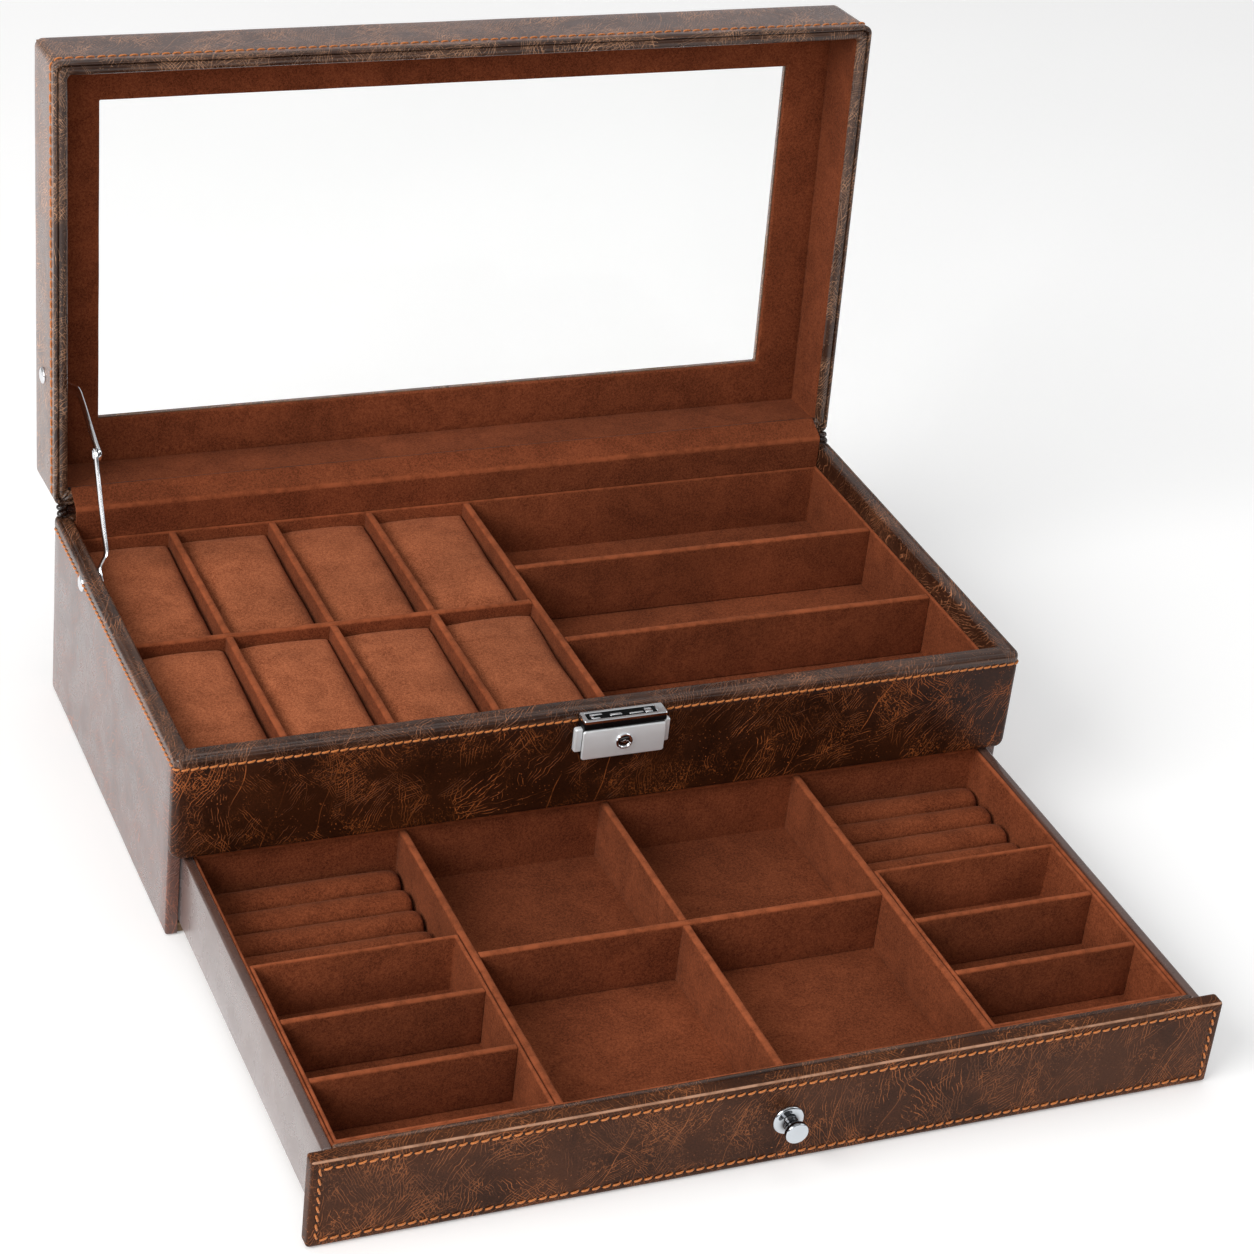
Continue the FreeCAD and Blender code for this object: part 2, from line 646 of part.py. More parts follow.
def arm(name, wall, strip, length, start, angle, eye):
    r = "stay_wide / 2"
    hip = "7"
    end = cylinder(name + "_end", "x", (wall, "0", "0"), r, "stay_thick")
    foot = box(name + "_foot", wall, "%s + stay_thick" % wall, "0", hip, "-stay_wide / 2", r)
    step = box(name + "_step", wall, "(%s) + stay_thick" % strip, "%s - stay_thick" % hip, hip, "-stay_wide / 2", r)
    long = box(name + "_long", strip, "(%s) + stay_thick" % strip, "%s - stay_thick" % hip, length, "-stay_wide / 2", r)
    tip = cylinder(name + "_tip", "x", (strip, length, "0"), r, "stay_thick")
    whole = fuse(name + "_blank", end, foot, step, long, tip)
    holes = [cylinder(name + "_hole", "x", ("%s - 1" % wall, "0", "0"), "rivet + 0.05", "stay_thick + 2")]
    if eye:
        holes.append(cylinder(name + "_eye", "x", ("(%s) - 1" % strip, length, "0"), eye, "stay_thick + 2"))
    a = cut(name, whole, *holes)
    a.Placement = FreeCAD.Placement(
        FreeCAD.Vector(0, 0, 0), FreeCAD.Rotation(FreeCAD.Vector(1, 0, 0), angle)
    )
    a.Placement.Base = FreeCAD.Vector(0, start[0], start[1])
    return a


def turn_open(y, z):
    a = -math.radians(S["lid_open"])
    dy, dz = y - S["axis_y"], z - S["axis_z"]
    return (
        S["axis_y"] + dy * math.cos(a) - dz * math.sin(a),
        S["axis_z"] + dy * math.sin(a) + dz * math.cos(a),
    )


low_pivot = (S["stay_low_y"], S["stay_low_z"])
mid_pivot = (S["stay_mid_y"], S["stay_mid_z"])
up_pivot = turn_open(S["stay_up_y"], S["stay_up_z"])
low_angle = math.degrees(math.atan2(mid_pivot[1] - low_pivot[1], mid_pivot[0] - low_pivot[0]))
up_angle = math.degrees(math.atan2(mid_pivot[1] - up_pivot[1], mid_pivot[0] - up_pivot[0]))
node(arm("stay_arm_lower", "stay_low_wall", "stay_low_plane", "stay_low_len", low_pivot, low_angle, "rivet"))
node(arm("stay_arm_upper", "stay_up_wall", "stay_up_plane", "stay_up_len", up_pivot, up_angle, ""))


def rivet_piece(name, head_at, inner_at, y, z):
    """A dome-headed rivet through a wall: head outside, a small upset head inside."""
    shank = cylinder(name + "_shank", "x", (head_at, y, z), "rivet", "(%s) - (%s)" % (inner_at, head_at))
    flat = cylinder(name + "_flat", "x", ("(%s) - 0.6" % head_at, y, z), "rivet_head", "0.6")
    dome = doc.addObject("Part::Cone", name + "_dome")
    dome.Label = name + "_dome"
    dome.setExpression("Radius1", E("rivet_head"))
    dome.setExpression("Radius2", E("rivet_head * 0.55"))
    dome.Height = 0.9
    dome.Placement = FreeCAD.Placement(
        FreeCAD.Vector(V(head_at) - 0.6, V(y), V(z)), FreeCAD.Rotation(FreeCAD.Vector(0, 1, 0), -90)
    )
    inside = cylinder(name + "_inside", "x", (inner_at, y, z), "rivet * 1.6", "0.7")
    return fuse(name, shank, flat, dome, inside)


node(rivet_piece("stay_rivet_case", "-wall_out", "stay_low_wall + stay_thick + 0.06", "stay_low_y", "stay_low_z"))
node(lid(rivet_piece("stay_rivet_lid", "-lid_half", "stay_up_wall + stay_thick + 0.06", "stay_up_y", "stay_up_z")))
mid_rivet = cylinder(
    "stay_rivet_middle", "x", ("stay_low_plane - 0.7", "stay_mid_y", "stay_mid_z"), "rivet", "stay_thick + 0.7"
)
mid_head = cylinder(
    "stay_rivet_middle_head", "x", ("stay_low_plane - 0.7", "stay_mid_y", "stay_mid_z"), "rivet * 1.6", "0.7"
)
node(fuse("stay_rivet", mid_rivet, mid_head), "stay_rivet")

# ---------------------------------------------------------------- lock

lk_out = "front_face - lock_deep"
lock_blank = box("lock_case_blank", "-lock_half", "lock_half", lk_out, "front_face", "lock_low", "lock_high")
lock_round = rounded(
    "lock_case_round", lock_blank, "0.8",
    lambda e: along(e, "x") and middle(e).z > S["lock_high"] - 1e-3 and middle(e).y < S["front_face"] - 1,
)
lock_pocket = box("lock_case_pocket", "-lock_half + 1", "lock_half - 1", "front_face - lock_deep + lock_face + 0.6", "front_face + 1", "lock_low + 1", "lock_high - 1")
lock_front = box("lock_case_front", "-lock_half - 1", "lock_half + 1", "front_face - lock_deep - 1", "front_face - lock_deep + lock_face", "lock_low - 1", "lock_split")
lock_slot = box("lock_case_slot", "-lock_half + 4", "lock_half - 4", "front_face - 4.6", "front_face - 2.2", "lock_high - 2", "lock_high + 1")
lock_plug_hole = cylinder("lock_case_plug_hole", "y", ("0", "front_face - lock_deep - 1", "plug_z"), "plug_radius + 0.05", "lock_deep + 3")
lock_tab_hole = box("lock_case_tab_hole", "-lock_half - 1", "lock_half + 1", "front_face - 5.2", "front_face - 2.3", "tab_z - tab_half - 0.1", "tab_z + tab_half + 0.1")
node(cut("lock_case", lock_round, lock_pocket, lock_front, lock_slot, lock_plug_hole, lock_tab_hole))

face_blank = box("lock_faceplate_blank", "-lock_half", "lock_half", lk_out, "front_face - lock_deep + lock_face", "lock_low", "lock_split - 1.2")
face_hole = cylinder("lock_faceplate_hole", "y", ("0", "front_face - lock_deep - 1", "plug_z"), "plug_radius + 0.05", "5")
node(cut("lock_faceplate", face_blank, face_hole))
node(box("lock_bezel", "-lock_half", "lock_half", "front_face - lock_deep + 0.1", "front_face - lock_deep + lock_face", "lock_split - 1.2", "lock_split"))
node(box("lock_latch", "-lock_half + 4.5", "lock_half - 4.5", "front_face - 4.3", "front_face - 2.5", "tab_z + tab_half + 1.2", "lock_high - 1.4"))

plug_blank = cylinder("lock_plug_blank", "y", ("0", "front_face - lock_deep - 0.5", "plug_z"), "plug_radius", "lock_deep + 0.1")
plug_key = box("lock_plug_key", "-0.5", "0.5", "front_face - lock_deep - 1", "front_face - lock_deep + 2.5", "plug_z - 1.7", "plug_z + 1.7")
node(cut("lock_plug", plug_blank, plug_key))

for side, sign in (("left", "-"), ("right", "")):
    if side == "left":
        x0, x1 = "-lock_half - tab_wide", "-lock_half + 3.2"
    else:
        x0, x1 = "lock_half - 3.2", "lock_half + tab_wide"
    node(box("lock_tab_" + side, x0, x1, "front_face - 5.1", "front_face - 2.4", "tab_z - tab_half", "tab_z + tab_half"))

# ---------------------------------------------------------------- drawer, drawn pushed in

di = "(drawer_half - drawer_side)"
ff = "fascia_back"  # the back of the drawer's front meets the case here
node(drawer(plate("drawer_side_left", "-drawer_half", "-%s" % di, ff, "drawer_back", "drawer_low", "drawer_high")))
node(drawer(plate("drawer_side_right", di, "drawer_half", ff, "drawer_back", "drawer_low", "drawer_high")))
node(drawer(plate("drawer_back_board", "-%s" % di, di, "drawer_back - drawer_board", "drawer_back", "drawer_low", "drawer_high")))
inner_front = plate("drawer_inner_front", "-%s" % di, di, ff, "%s + drawer_board" % ff, "drawer_low", "drawer_high")
inner_bore = cylinder("drawer_inner_front_bore", "y", ("0", "fascia_back - 1", "knob_z"), "1.6", "6")
inner_sink = cylinder("drawer_inner_front_sink", "y", ("0", "%s + drawer_board - 1.15" % ff, "knob_z"), "3.3", "3")
node(drawer(cut("drawer_inner_front", inner_front, inner_bore, inner_sink)), "drawer_inner_front")
node(drawer(plate("drawer_bottom", "-%s" % di, di, "%s + drawer_board" % ff, "drawer_back - drawer_board", "drawer_low", "drawer_floor")))

fx, fz0, fz1 = "half_width - skin", "front_low + skin", "front_high - skin"
board = box("drawer_front_blank", "-(%s)" % fx, fx, "fascia_back - front_thick + skin", ff, fz0, fz1)
board_bore = cylinder("drawer_front_bore", "y", ("0", "fascia_back - front_thick - 1", "knob_z"), "1.6", "front_thick + 3")
node(drawer(cut("drawer_front_board", board, board_bore)))
face_out = box("drawer_front_cover_out", "-half_width", "half_width", "fascia_back - front_thick", ff, "front_low", "front_high")
face_soft = rounded(
    "drawer_front_cover_soft", face_out, "1.2",
    lambda e: middle(e).y < S["fascia_back"] - S["front_thick"] + 1e-3 or (along(e, "y")),
)
face_in = box("drawer_front_cover_in", "-(%s)" % fx, fx, "fascia_back - front_thick + skin", "fascia_back + 1", fz0, fz1)
face_bore = cylinder("drawer_front_cover_bore", "y", ("0", "fascia_back - front_thick - 1", "knob_z"), "1.6", "4")
node(drawer(cut("drawer_front_cover", face_soft, face_in, face_bore)))

# suede lining of the drawer: floor and four walls
lo, hi = "%s + drawer_board" % ff, "drawer_back - drawer_board"
node(drawer(plate("drawer_floor_pad", "-%s" % di, di, lo, hi, "drawer_floor", "drawer_floor + suede")))
node(
    drawer(
        plate(
            "drawer_wall_lining", "-%s" % di, di, lo, hi, "drawer_floor + suede", "part_top",
            holes=[("-%s + suede" % di, "%s - suede" % di, "%s + suede" % lo, "%s - suede" % hi)],
        )
    )
)
y0, y1 = "%s + suede" % lo, "%s - suede" % hi
fz = "drawer_floor + suede"
longs = [
    box("long_divider_left", "-column_x - divider / 2", "-column_x + divider / 2", y0, y1, fz, "part_top"),
    box("long_divider_right", "column_x - divider / 2", "column_x + divider / 2", y0, y1, fz, "part_top"),
]
lg = doc.addObject("Part::Compound", "drawer_long_dividers")
lg.Label = "drawer_long_dividers"
lg.Links = longs
node(drawer(lg))
mid_blank = box("middle_divider_blank", "-divider / 2", "divider / 2", y0, y1, fz, "part_top")
mid_slot = box("middle_divider_slot", "-divider", "divider", "cell_y - divider / 2", "cell_y + divider / 2", "(drawer_floor + part_top) / 2", "part_top + 1")
node(drawer(cut("drawer_middle_divider", mid_blank, mid_slot)))
cross_blank = box("cross_divider_blank", "-column_x + divider / 2", "column_x - divider / 2", "cell_y - divider / 2", "cell_y + divider / 2", fz, "part_top")
cross_slot = box("cross_divider_slot", "-divider / 2", "divider / 2", "cell_y - divider", "cell_y + divider", "drawer_floor", "(drawer_floor + part_top) / 2")
node(drawer(cut("drawer_cross_divider", cross_blank, cross_slot)))

# small trays in front of the ring cushions: a shell each, with two loose dividers
side_in = "%s - suede - tray_gap" % di
long_in = "column_x + divider / 2 + tray_gap"
pair = []
for side in ("left", "right"):
    if side == "left":
        x0, x1 = "-(%s)" % side_in, "-(%s)" % long_in
    else:
        x0, x1 = long_in, side_in
    ya, yb = "%s + tray_gap" % y0, "tray_end"
    shell = plate(
        "small_tray_" + side, x0, x1, ya, yb, "%s + 0.1" % fz, "part_top",
    )
    hole = sketch(shell, "small_tray_%s_hollow" % side, "xy", ("(%s) + suede" % x0, "(%s) + suede" % ya, "part_top"))
    rectangle(hole, "(%s) - (%s) - 2 * suede" % (x1, x0), "(%s) - (%s) - 2 * suede" % (yb, ya))
    doc.recompute()
    before = shell.Shape.Volume
    pk = shell.newObject("PartDesign::Pocket", "small_tray_%s_pocket" % side)
    pk.Profile = hole
    pk.setExpression("Length", E("part_top - drawer_floor - 2 * suede - 0.1"))
    doc.recompute()
    if shell.Shape.Volume > before - 1000:
        raise SystemExit("the small tray is not hollow")
    node(drawer(shell))
    third = "((%s) - (%s)) / 3" % (yb, ya)
    for k in (1, 2):
        c = "(%s) + %s * %d" % (ya, third, k)
        pair.append(
            box(
                "small_divider_%s_%d" % (side, k), "(%s) + suede" % x0, "(%s) - suede" % x1,
                "%s - 1.2" % c, "%s + 1.2" % c, "%s + 0.1 + suede" % fz, "part_top",
            )
        )
    # ring cushion: a row of rolls from side to side, drawn as one plain pad
    cushion = plate(
        "ring_cushion_" + side,
        "(%s) + 0.4" % x0, "(%s) - 0.4" % x1, "tray_end + 0.5", "(%s) - 0.5" % y1, "%s + 0.1" % fz, "ring_high",
    )
    node(drawer(cushion))

g = doc.addObject("Part::Compound", "small_tray_dividers")
g.Label = "small_tray_dividers"
g.Links = pair
node(drawer(g))

# knob and its screw
knob = turned(
    "drawer_knob",
    [
        ("0", "0"), ("knob_base", "0"), ("knob_base", "1"), ("knob_base * 0.6", "1.7"), ("knob_base * 0.45", "3"),
        ("knob_base * 0.5", "4.4"), ("knob_head * 0.8", "5.6"), ("knob_head", "7.3"), ("knob_head", "knob_long - 0.6"),
        ("knob_head * 0.88", "knob_long"), ("0", "knob_long"),
    ],
)
# its axis lies along -Y: the base is against the drawer's front
screw_hole_sketch = sketch(knob, "knob_hole_outline", "xz", ("0", "0", "0"))
screw_hole_sketch.addGeometry(Part.Circle(FreeCAD.Vector(0, 0, 0), FreeCAD.Vector(0, 0, 1), 1.5))
screw_hole_sketch.addConstraint(Sketcher.Constraint("Coincident", 0, 3, -1, 1))
screw_hole_sketch.addConstraint(Sketcher.Constraint("Radius", 0, 1.5))
doc.recompute()
vol = knob.Shape.Volume
hole = knob.newObject("PartDesign::Pocket", "knob_hole")
hole.Profile = screw_hole_sketch
hole.Length = 5.6
doc.recompute()
if knob.Shape.Volume > vol - 10:
    hole.Reversed = True
    doc.recompute()
if knob.Shape.Volume > vol - 10:
    raise SystemExit("the knob has no screw hole")
knob.Placement = FreeCAD.Placement(
    FreeCAD.Vector(0, V("fascia_back - front_thick - drawer_out"), S["knob_z"]),
    FreeCAD.Rotation(FreeCAD.Vector(0, 0, 1), 180),
)
knob.setExpression("Placement.Base.y", E("fascia_back - front_thick - drawer_out"))
knob.setExpression("Placement.Base.z", E("knob_z"))
node(knob)
screw = turned(
    "knob_screw",
    [("0", "0"), ("3.2", "0"), ("3.2", "0.5"), ("1.48", "1.1"), ("1.48", "13.4"), ("0", "13.4")],
)
screw.Placement = FreeCAD.Placement(
    FreeCAD.Vector(0, V("fascia_back + drawer_board - drawer_out"), S["knob_z"]),
    FreeCAD.Rotation(FreeCAD.Vector(0, 0, 1), 180),
)
node(screw)

# ---------------------------------------------------------------- check and write

doc.recompute()
for o in doc.Objects:
    if any(w in ("Invalid", "Error") for w in o.State):
        raise SystemExit("failed: %s %s" % (o.Label, o.State))
os.makedirs("parts", exist_ok=True)
if len(NODES) > 60:
    raise SystemExit("too many nodes: %d" % len(NODES))
for name, obj in NODES.items():
    obj.Label = name
    shape = obj.Shape
    if shape.isNull() or not shape.isValid():
        raise SystemExit("bad shape: " + name)
    if not shape.Solids or shape.Volume <= 0:
        raise SystemExit("no solid: " + name)
for old in os.listdir("parts"):
    if old.endswith(".step"):
        os.remove(os.path.join("parts", old))
for name, obj in NODES.items():
    obj.Shape.exportStep(os.path.join("parts", name + ".step"))
    b = obj.Shape.BoundBox
    print(
        "%-24s solids %d  x %.1f..%.1f  y %.1f..%.1f  z %.1f..%.1f  vol %.0f"
        % (name, len(obj.Shape.Solids), b.XMin, b.XMax, b.YMin, b.YMax, b.ZMin, b.ZMax, obj.Shape.Volume)
    )
print(len(NODES), "nodes")
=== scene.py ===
import math

import bmesh
import bpy
import numpy as np
from mathutils import Matrix, Vector, noise


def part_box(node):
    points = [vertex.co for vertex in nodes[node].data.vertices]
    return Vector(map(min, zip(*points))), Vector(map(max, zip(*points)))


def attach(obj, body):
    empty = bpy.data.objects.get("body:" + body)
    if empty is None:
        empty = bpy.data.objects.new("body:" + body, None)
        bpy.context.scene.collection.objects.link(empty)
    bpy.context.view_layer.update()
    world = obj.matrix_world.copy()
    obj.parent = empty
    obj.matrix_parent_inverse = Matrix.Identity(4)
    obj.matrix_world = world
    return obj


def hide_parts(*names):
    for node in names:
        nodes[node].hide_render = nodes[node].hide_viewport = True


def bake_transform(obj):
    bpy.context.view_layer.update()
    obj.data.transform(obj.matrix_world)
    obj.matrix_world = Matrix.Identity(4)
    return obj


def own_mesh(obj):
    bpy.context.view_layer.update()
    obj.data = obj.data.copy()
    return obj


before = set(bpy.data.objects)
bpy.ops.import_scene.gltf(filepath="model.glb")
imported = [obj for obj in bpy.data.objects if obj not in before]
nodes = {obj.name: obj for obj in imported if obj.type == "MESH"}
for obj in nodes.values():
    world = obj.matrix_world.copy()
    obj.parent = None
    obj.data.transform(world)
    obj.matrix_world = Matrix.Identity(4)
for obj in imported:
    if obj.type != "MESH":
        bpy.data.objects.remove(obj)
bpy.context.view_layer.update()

MM = 0.001
scene = bpy.context.scene
col = scene.collection

# ------------------------------------------------------------------ camera and studio

F_PX = 3250.0
cam_at = Vector((-443.048, -1017.358, 716.985)) * MM
right = Vector((0.9221878, -0.3726739, 0.1033626))
down = Vector((-0.1091044, -0.5071047, -0.8549509))
ahead = Vector((0.3710335, 0.7771480, -0.5083061))
ahead = (ahead - down * (6.5 / F_PX)).normalized()
right = (right - ahead * right.dot(ahead)).normalized()
down = ahead.cross(right)
if down.z > 0:
    down = -down
cam_data = bpy.data.cameras.new("camera")
cam_data.sensor_width = 36.0
cam_data.lens = F_PX / 1254.0 * 36.0
cam_data.clip_start = 0.05
cam_data.clip_end = 60
camera = bpy.data.objects.new("camera", cam_data)
col.objects.link(camera)
m = Matrix.Identity(4)
for i in range(3):
    m[i][0] = right[i]
    m[i][1] = -down[i]
    m[i][2] = -ahead[i]
    m[i][3] = cam_at[i]
camera.matrix_world = m
scene.camera = camera

scene.view_settings.view_transform = "Standard"
scene.view_settings.look = "None"

world = bpy.data.worlds.new("studio")
scene.world = world
world.use_nodes = True
wt = world.node_tree
wt.nodes.clear()
w_out = wt.nodes.new("ShaderNodeOutputWorld")
w_bg = wt.nodes.new("ShaderNodeBackground")
w_bg.inputs["Strength"].default_value = 0.46
w_tc = wt.nodes.new("ShaderNodeTexCoord")
w_sep = wt.nodes.new("ShaderNodeSeparateXYZ")
w_ramp = wt.nodes.new("ShaderNodeValToRGB")
w_ramp.color_ramp.elements[0].position = 0.0
w_ramp.color_ramp.elements[0].color = (0.62, 0.63, 0.66, 1)
w_ramp.color_ramp.elements[1].position = 0.55
w_ramp.color_ramp.elements[1].color = (1.0, 1.0, 1.0, 1)
wt.links.new(w_tc.outputs["Generated"], w_sep.inputs[0])
wt.links.new(w_sep.outputs["Z"], w_ramp.inputs[0])
w_front = wt.nodes.new("ShaderNodeMapRange")
w_front.inputs["From Min"].default_value = -0.35
w_front.inputs["From Max"].default_value = -0.75
w_low = wt.nodes.new("ShaderNodeMapRange")
w_low.inputs["From Min"].default_value = 0.62
w_low.inputs["From Max"].default_value = 0.35
w_mul = wt.nodes.new("ShaderNodeMath")
w_mul.operation = "MULTIPLY"
w_mix = wt.nodes.new("ShaderNodeMix")
w_mix.data_type = "RGBA"
wt.links.new(w_sep.outputs["Y"], w_front.inputs["Value"])
wt.links.new(w_sep.outputs["Z"], w_low.inputs["Value"])
wt.links.new(w_front.outputs[0], w_mul.inputs[0])
wt.links.new(w_low.outputs[0], w_mul.inputs[1])
wt.links.new(w_mul.outputs[0], w_mix.inputs[0])
wt.links.new(w_ramp.outputs["Color"], w_mix.inputs[6])
w_mix.inputs[7].default_value = (0.03, 0.03, 0.035, 1)
wt.links.new(w_mix.outputs[2], w_bg.inputs["Color"])
wt.links.new(w_bg.outputs[0], w_out.inputs[0])


def softbox(name, at, aim, size, watts, tall=None, colour=(1, 1, 1)):
    data = bpy.data.lights.new(name, "AREA")
    data.shape = "RECTANGLE"
    data.size = size
    data.size_y = tall or size
    data.energy = watts
    data.color = colour
    ob = bpy.data.objects.new(name, data)
    col.objects.link(ob)
    ob.location = at
    ob.rotation_mode = "QUATERNION"
    ob.rotation_quaternion = (Vector(aim) - Vector(at)).to_track_quat("-Z", "Y")
    return ob


softbox("key", (-2.0, -0.85, 1.55), (0, -0.05, 0.05), 1.7, 50, 1.3, (1.0, 0.99, 0.975))
softbox("front", (-1.25, -2.3, 1.15), (0, 0, 0.08), 1.1, 12, 0.9, (1.0, 0.985, 0.97))
softbox("side", (1.9, -0.9, 1.4), (0, 0, 0.05), 1.1, 5, 1.2, (0.97, 0.985, 1.0))
softbox("top", (0.1, 0.3, 2.3), (0, 0, 0), 1.6, 7, 1.2)

# ------------------------------------------------------------------ materials


class Tree:
    """A small helper round one material's node tree."""

    def __init__(self, name):
        self.mat = bpy.data.materials.new(name)
        self.mat.use_nodes = True
        self.nt = self.mat.node_tree
        self.nt.nodes.clear()
        self.out = self.nt.nodes.new("ShaderNodeOutputMaterial")
        self.bsdf = self.nt.nodes.new("ShaderNodeBsdfPrincipled")
        self.nt.links.new(self.bsdf.outputs[0], self.out.inputs[0])
        self.tc = self.nt.nodes.new("ShaderNodeTexCoord")
        self.coord = self.tc.outputs["Object"]

    def node(self, kind, **props):
        n = self.nt.nodes.new(kind)
        for k, v in props.items():
            setattr(n, k, v)
        return n

    def put(self, socket, value):
        if isinstance(value, bpy.types.NodeSocket):
            self.nt.links.new(value, socket)
        else:
            socket.default_value = value

    def mapping(self, scale=(1, 1, 1), rot=(0, 0, 0), loc=(0, 0, 0), vector=None):
        n = self.node("ShaderNodeMapping")
        self.put(n.inputs["Vector"], vector if vector is not None else self.coord)
        n.inputs["Scale"].default_value = scale
        n.inputs["Rotation"].default_value = [math.radians(a) for a in rot]
        n.inputs["Location"].default_value = loc
        return n.outputs[0]

    def noise(self, scale, detail=2.0, rough=0.5, distortion=0.0, vector=None, colour=False):
        n = self.node("ShaderNodeTexNoise")
        self.put(n.inputs["Vector"], vector if vector is not None else self.coord)
        n.inputs["Scale"].default_value = scale
        n.inputs["Detail"].default_value = detail
        n.inputs["Roughness"].default_value = rough
        n.inputs["Distortion"].default_value = distortion
        return n.outputs["Color" if colour else "Fac"]

    def cells(self, scale, feature="F1", vector=None, out="Distance", randomness=1.0):
        n = self.node("ShaderNodeTexVoronoi", feature=feature)
        self.put(n.inputs["Vector"], vector if vector is not None else self.coord)
        n.inputs["Scale"].default_value = scale
        n.inputs["Randomness"].default_value = randomness
        return n.outputs[out]

    def math(self, op, a, b=0.0, c=0.0, clamp=False):
        n = self.node("ShaderNodeMath", operation=op)
        n.use_clamp = clamp
        self.put(n.inputs[0], a)
        self.put(n.inputs[1], b)
        self.put(n.inputs[2], c)
        return n.outputs[0]

    def vmath(self, op, a, b=(0, 0, 0), scale=1.0):
        n = self.node("ShaderNodeVectorMath", operation=op)
        self.put(n.inputs[0], a)
        if op == "SCALE":
            self.put(n.inputs["Scale"], scale)
        else:
            self.put(n.inputs[1], b)
        return n.outputs[0]

    def vmath_value(self, op, a, b):
        n = self.node("ShaderNodeVectorMath", operation=op)
        self.put(n.inputs[0], a)
        self.put(n.inputs[1], b)
        return n.outputs["Value"]

    def combine(self, x, y, z):
        n = self.node("ShaderNodeCombineXYZ")
        for i, v in enumerate((x, y, z)):
            self.put(n.inputs[i], v)
        return n.outputs[0]

    def range(self, v, a, b, c=0.0, d=1.0, smooth=True):
        n = self.node("ShaderNodeMapRange")
        n.interpolation_type = "SMOOTHSTEP" if smooth else "LINEAR"
        n.clamp = True
        self.put(n.inputs["Value"], v)
        n.inputs["From Min"].default_value = a
        n.inputs["From Max"].default_value = b
        n.inputs["To Min"].default_value = c
        n.inputs["To Max"].default_value = d
        return n.outputs["Result"]

    def mix(self, fac, a, b, kind="MIX"):
        n = self.node("ShaderNodeMix", data_type="RGBA", blend_type=kind)
        self.put(n.inputs["Factor"], fac)
        self.put(n.inputs["A"] if False else n.inputs[6], a)
        self.put(n.inputs[7], b)
        return n.outputs[2]

    def warp(self, scale, amount, vector=None, detail=1.0):
        base = vector if vector is not None else self.coord
        c = self.noise(scale, detail, vector=base, colour=True)
        c = self.vmath("SUBTRACT", c, (0.5, 0.5, 0.5))
        c = self.vmath("SCALE", c, scale=amount)
        return self.vmath("ADD", base, c)

    def bump(self, height, distance, strength=1.0, normal=None):
        n = self.node("ShaderNodeBump")
        n.inputs["Strength"].default_value = strength
        n.inputs["Distance"].default_value = distance
        self.put(n.inputs["Height"], height)
        if normal is not None:
            self.put(n.inputs["Normal"], normal)
        return n.outputs[0]

    def set(self, **kw):
        for k, v in kw.items():
            self.put(self.bsdf.inputs[k.replace("_", " ")], v)
        return self


def lin(r, g, b):
    f = lambda c: (c / 255.0) / 12.92 if c <= 10 else ((c / 255.0 + 0.055) / 1.055) ** 2.4
    return (f(r), f(g), f(b), 1.0)


def bundle(t, vector, angle, ny, my, pitch, share, reach, group, low, high, loc):
    """Worn lines side by side. They cross one direction at an even pitch, each with its own ends, and come in drawn-out groups."""
    a = math.radians(angle)
    n = Vector((-math.sin(a), ny, math.cos(a))).normalized()
    m = Vector((math.cos(a), my, math.sin(a))).normalized()
    q = n.cross(m).normalized()
    dot = lambda d: t.vmath_value("DOT_PRODUCT", vector, tuple(d))
    u, w, s = dot(n), dot(m), dot(q)
    v = t.math("MULTIPLY_ADD", u, 1.0 / pitch, loc)
    row = t.math("FLOOR", v)
    d = t.math("ABSOLUTE", t.math("SUBTRACT", t.math("FRACT", v), 0.5))
    line = t.range(d, share * 0.35, share, 1.0, 0.0)
    ends = t.combine(t.math("MULTIPLY", row, 0.73), t.math("MULTIPLY", w, reach), t.math("MULTIPLY", s, reach * 0.8))
    ends = t.range(t.noise(1.0, 1.0, 0.5, 0.0, ends), 0.44, 0.52)
    area = t.combine(t.math("MULTIPLY_ADD", u, group, loc), t.math("MULTIPLY", w, group * 0.36), t.math("MULTIPLY", s, group * 0.7))
    area = t.range(t.noise(1.0, 1.5, 0.5, 0.0, area), low, high)
    return t.math("MULTIPLY", t.math("MULTIPLY", line, ends), area)


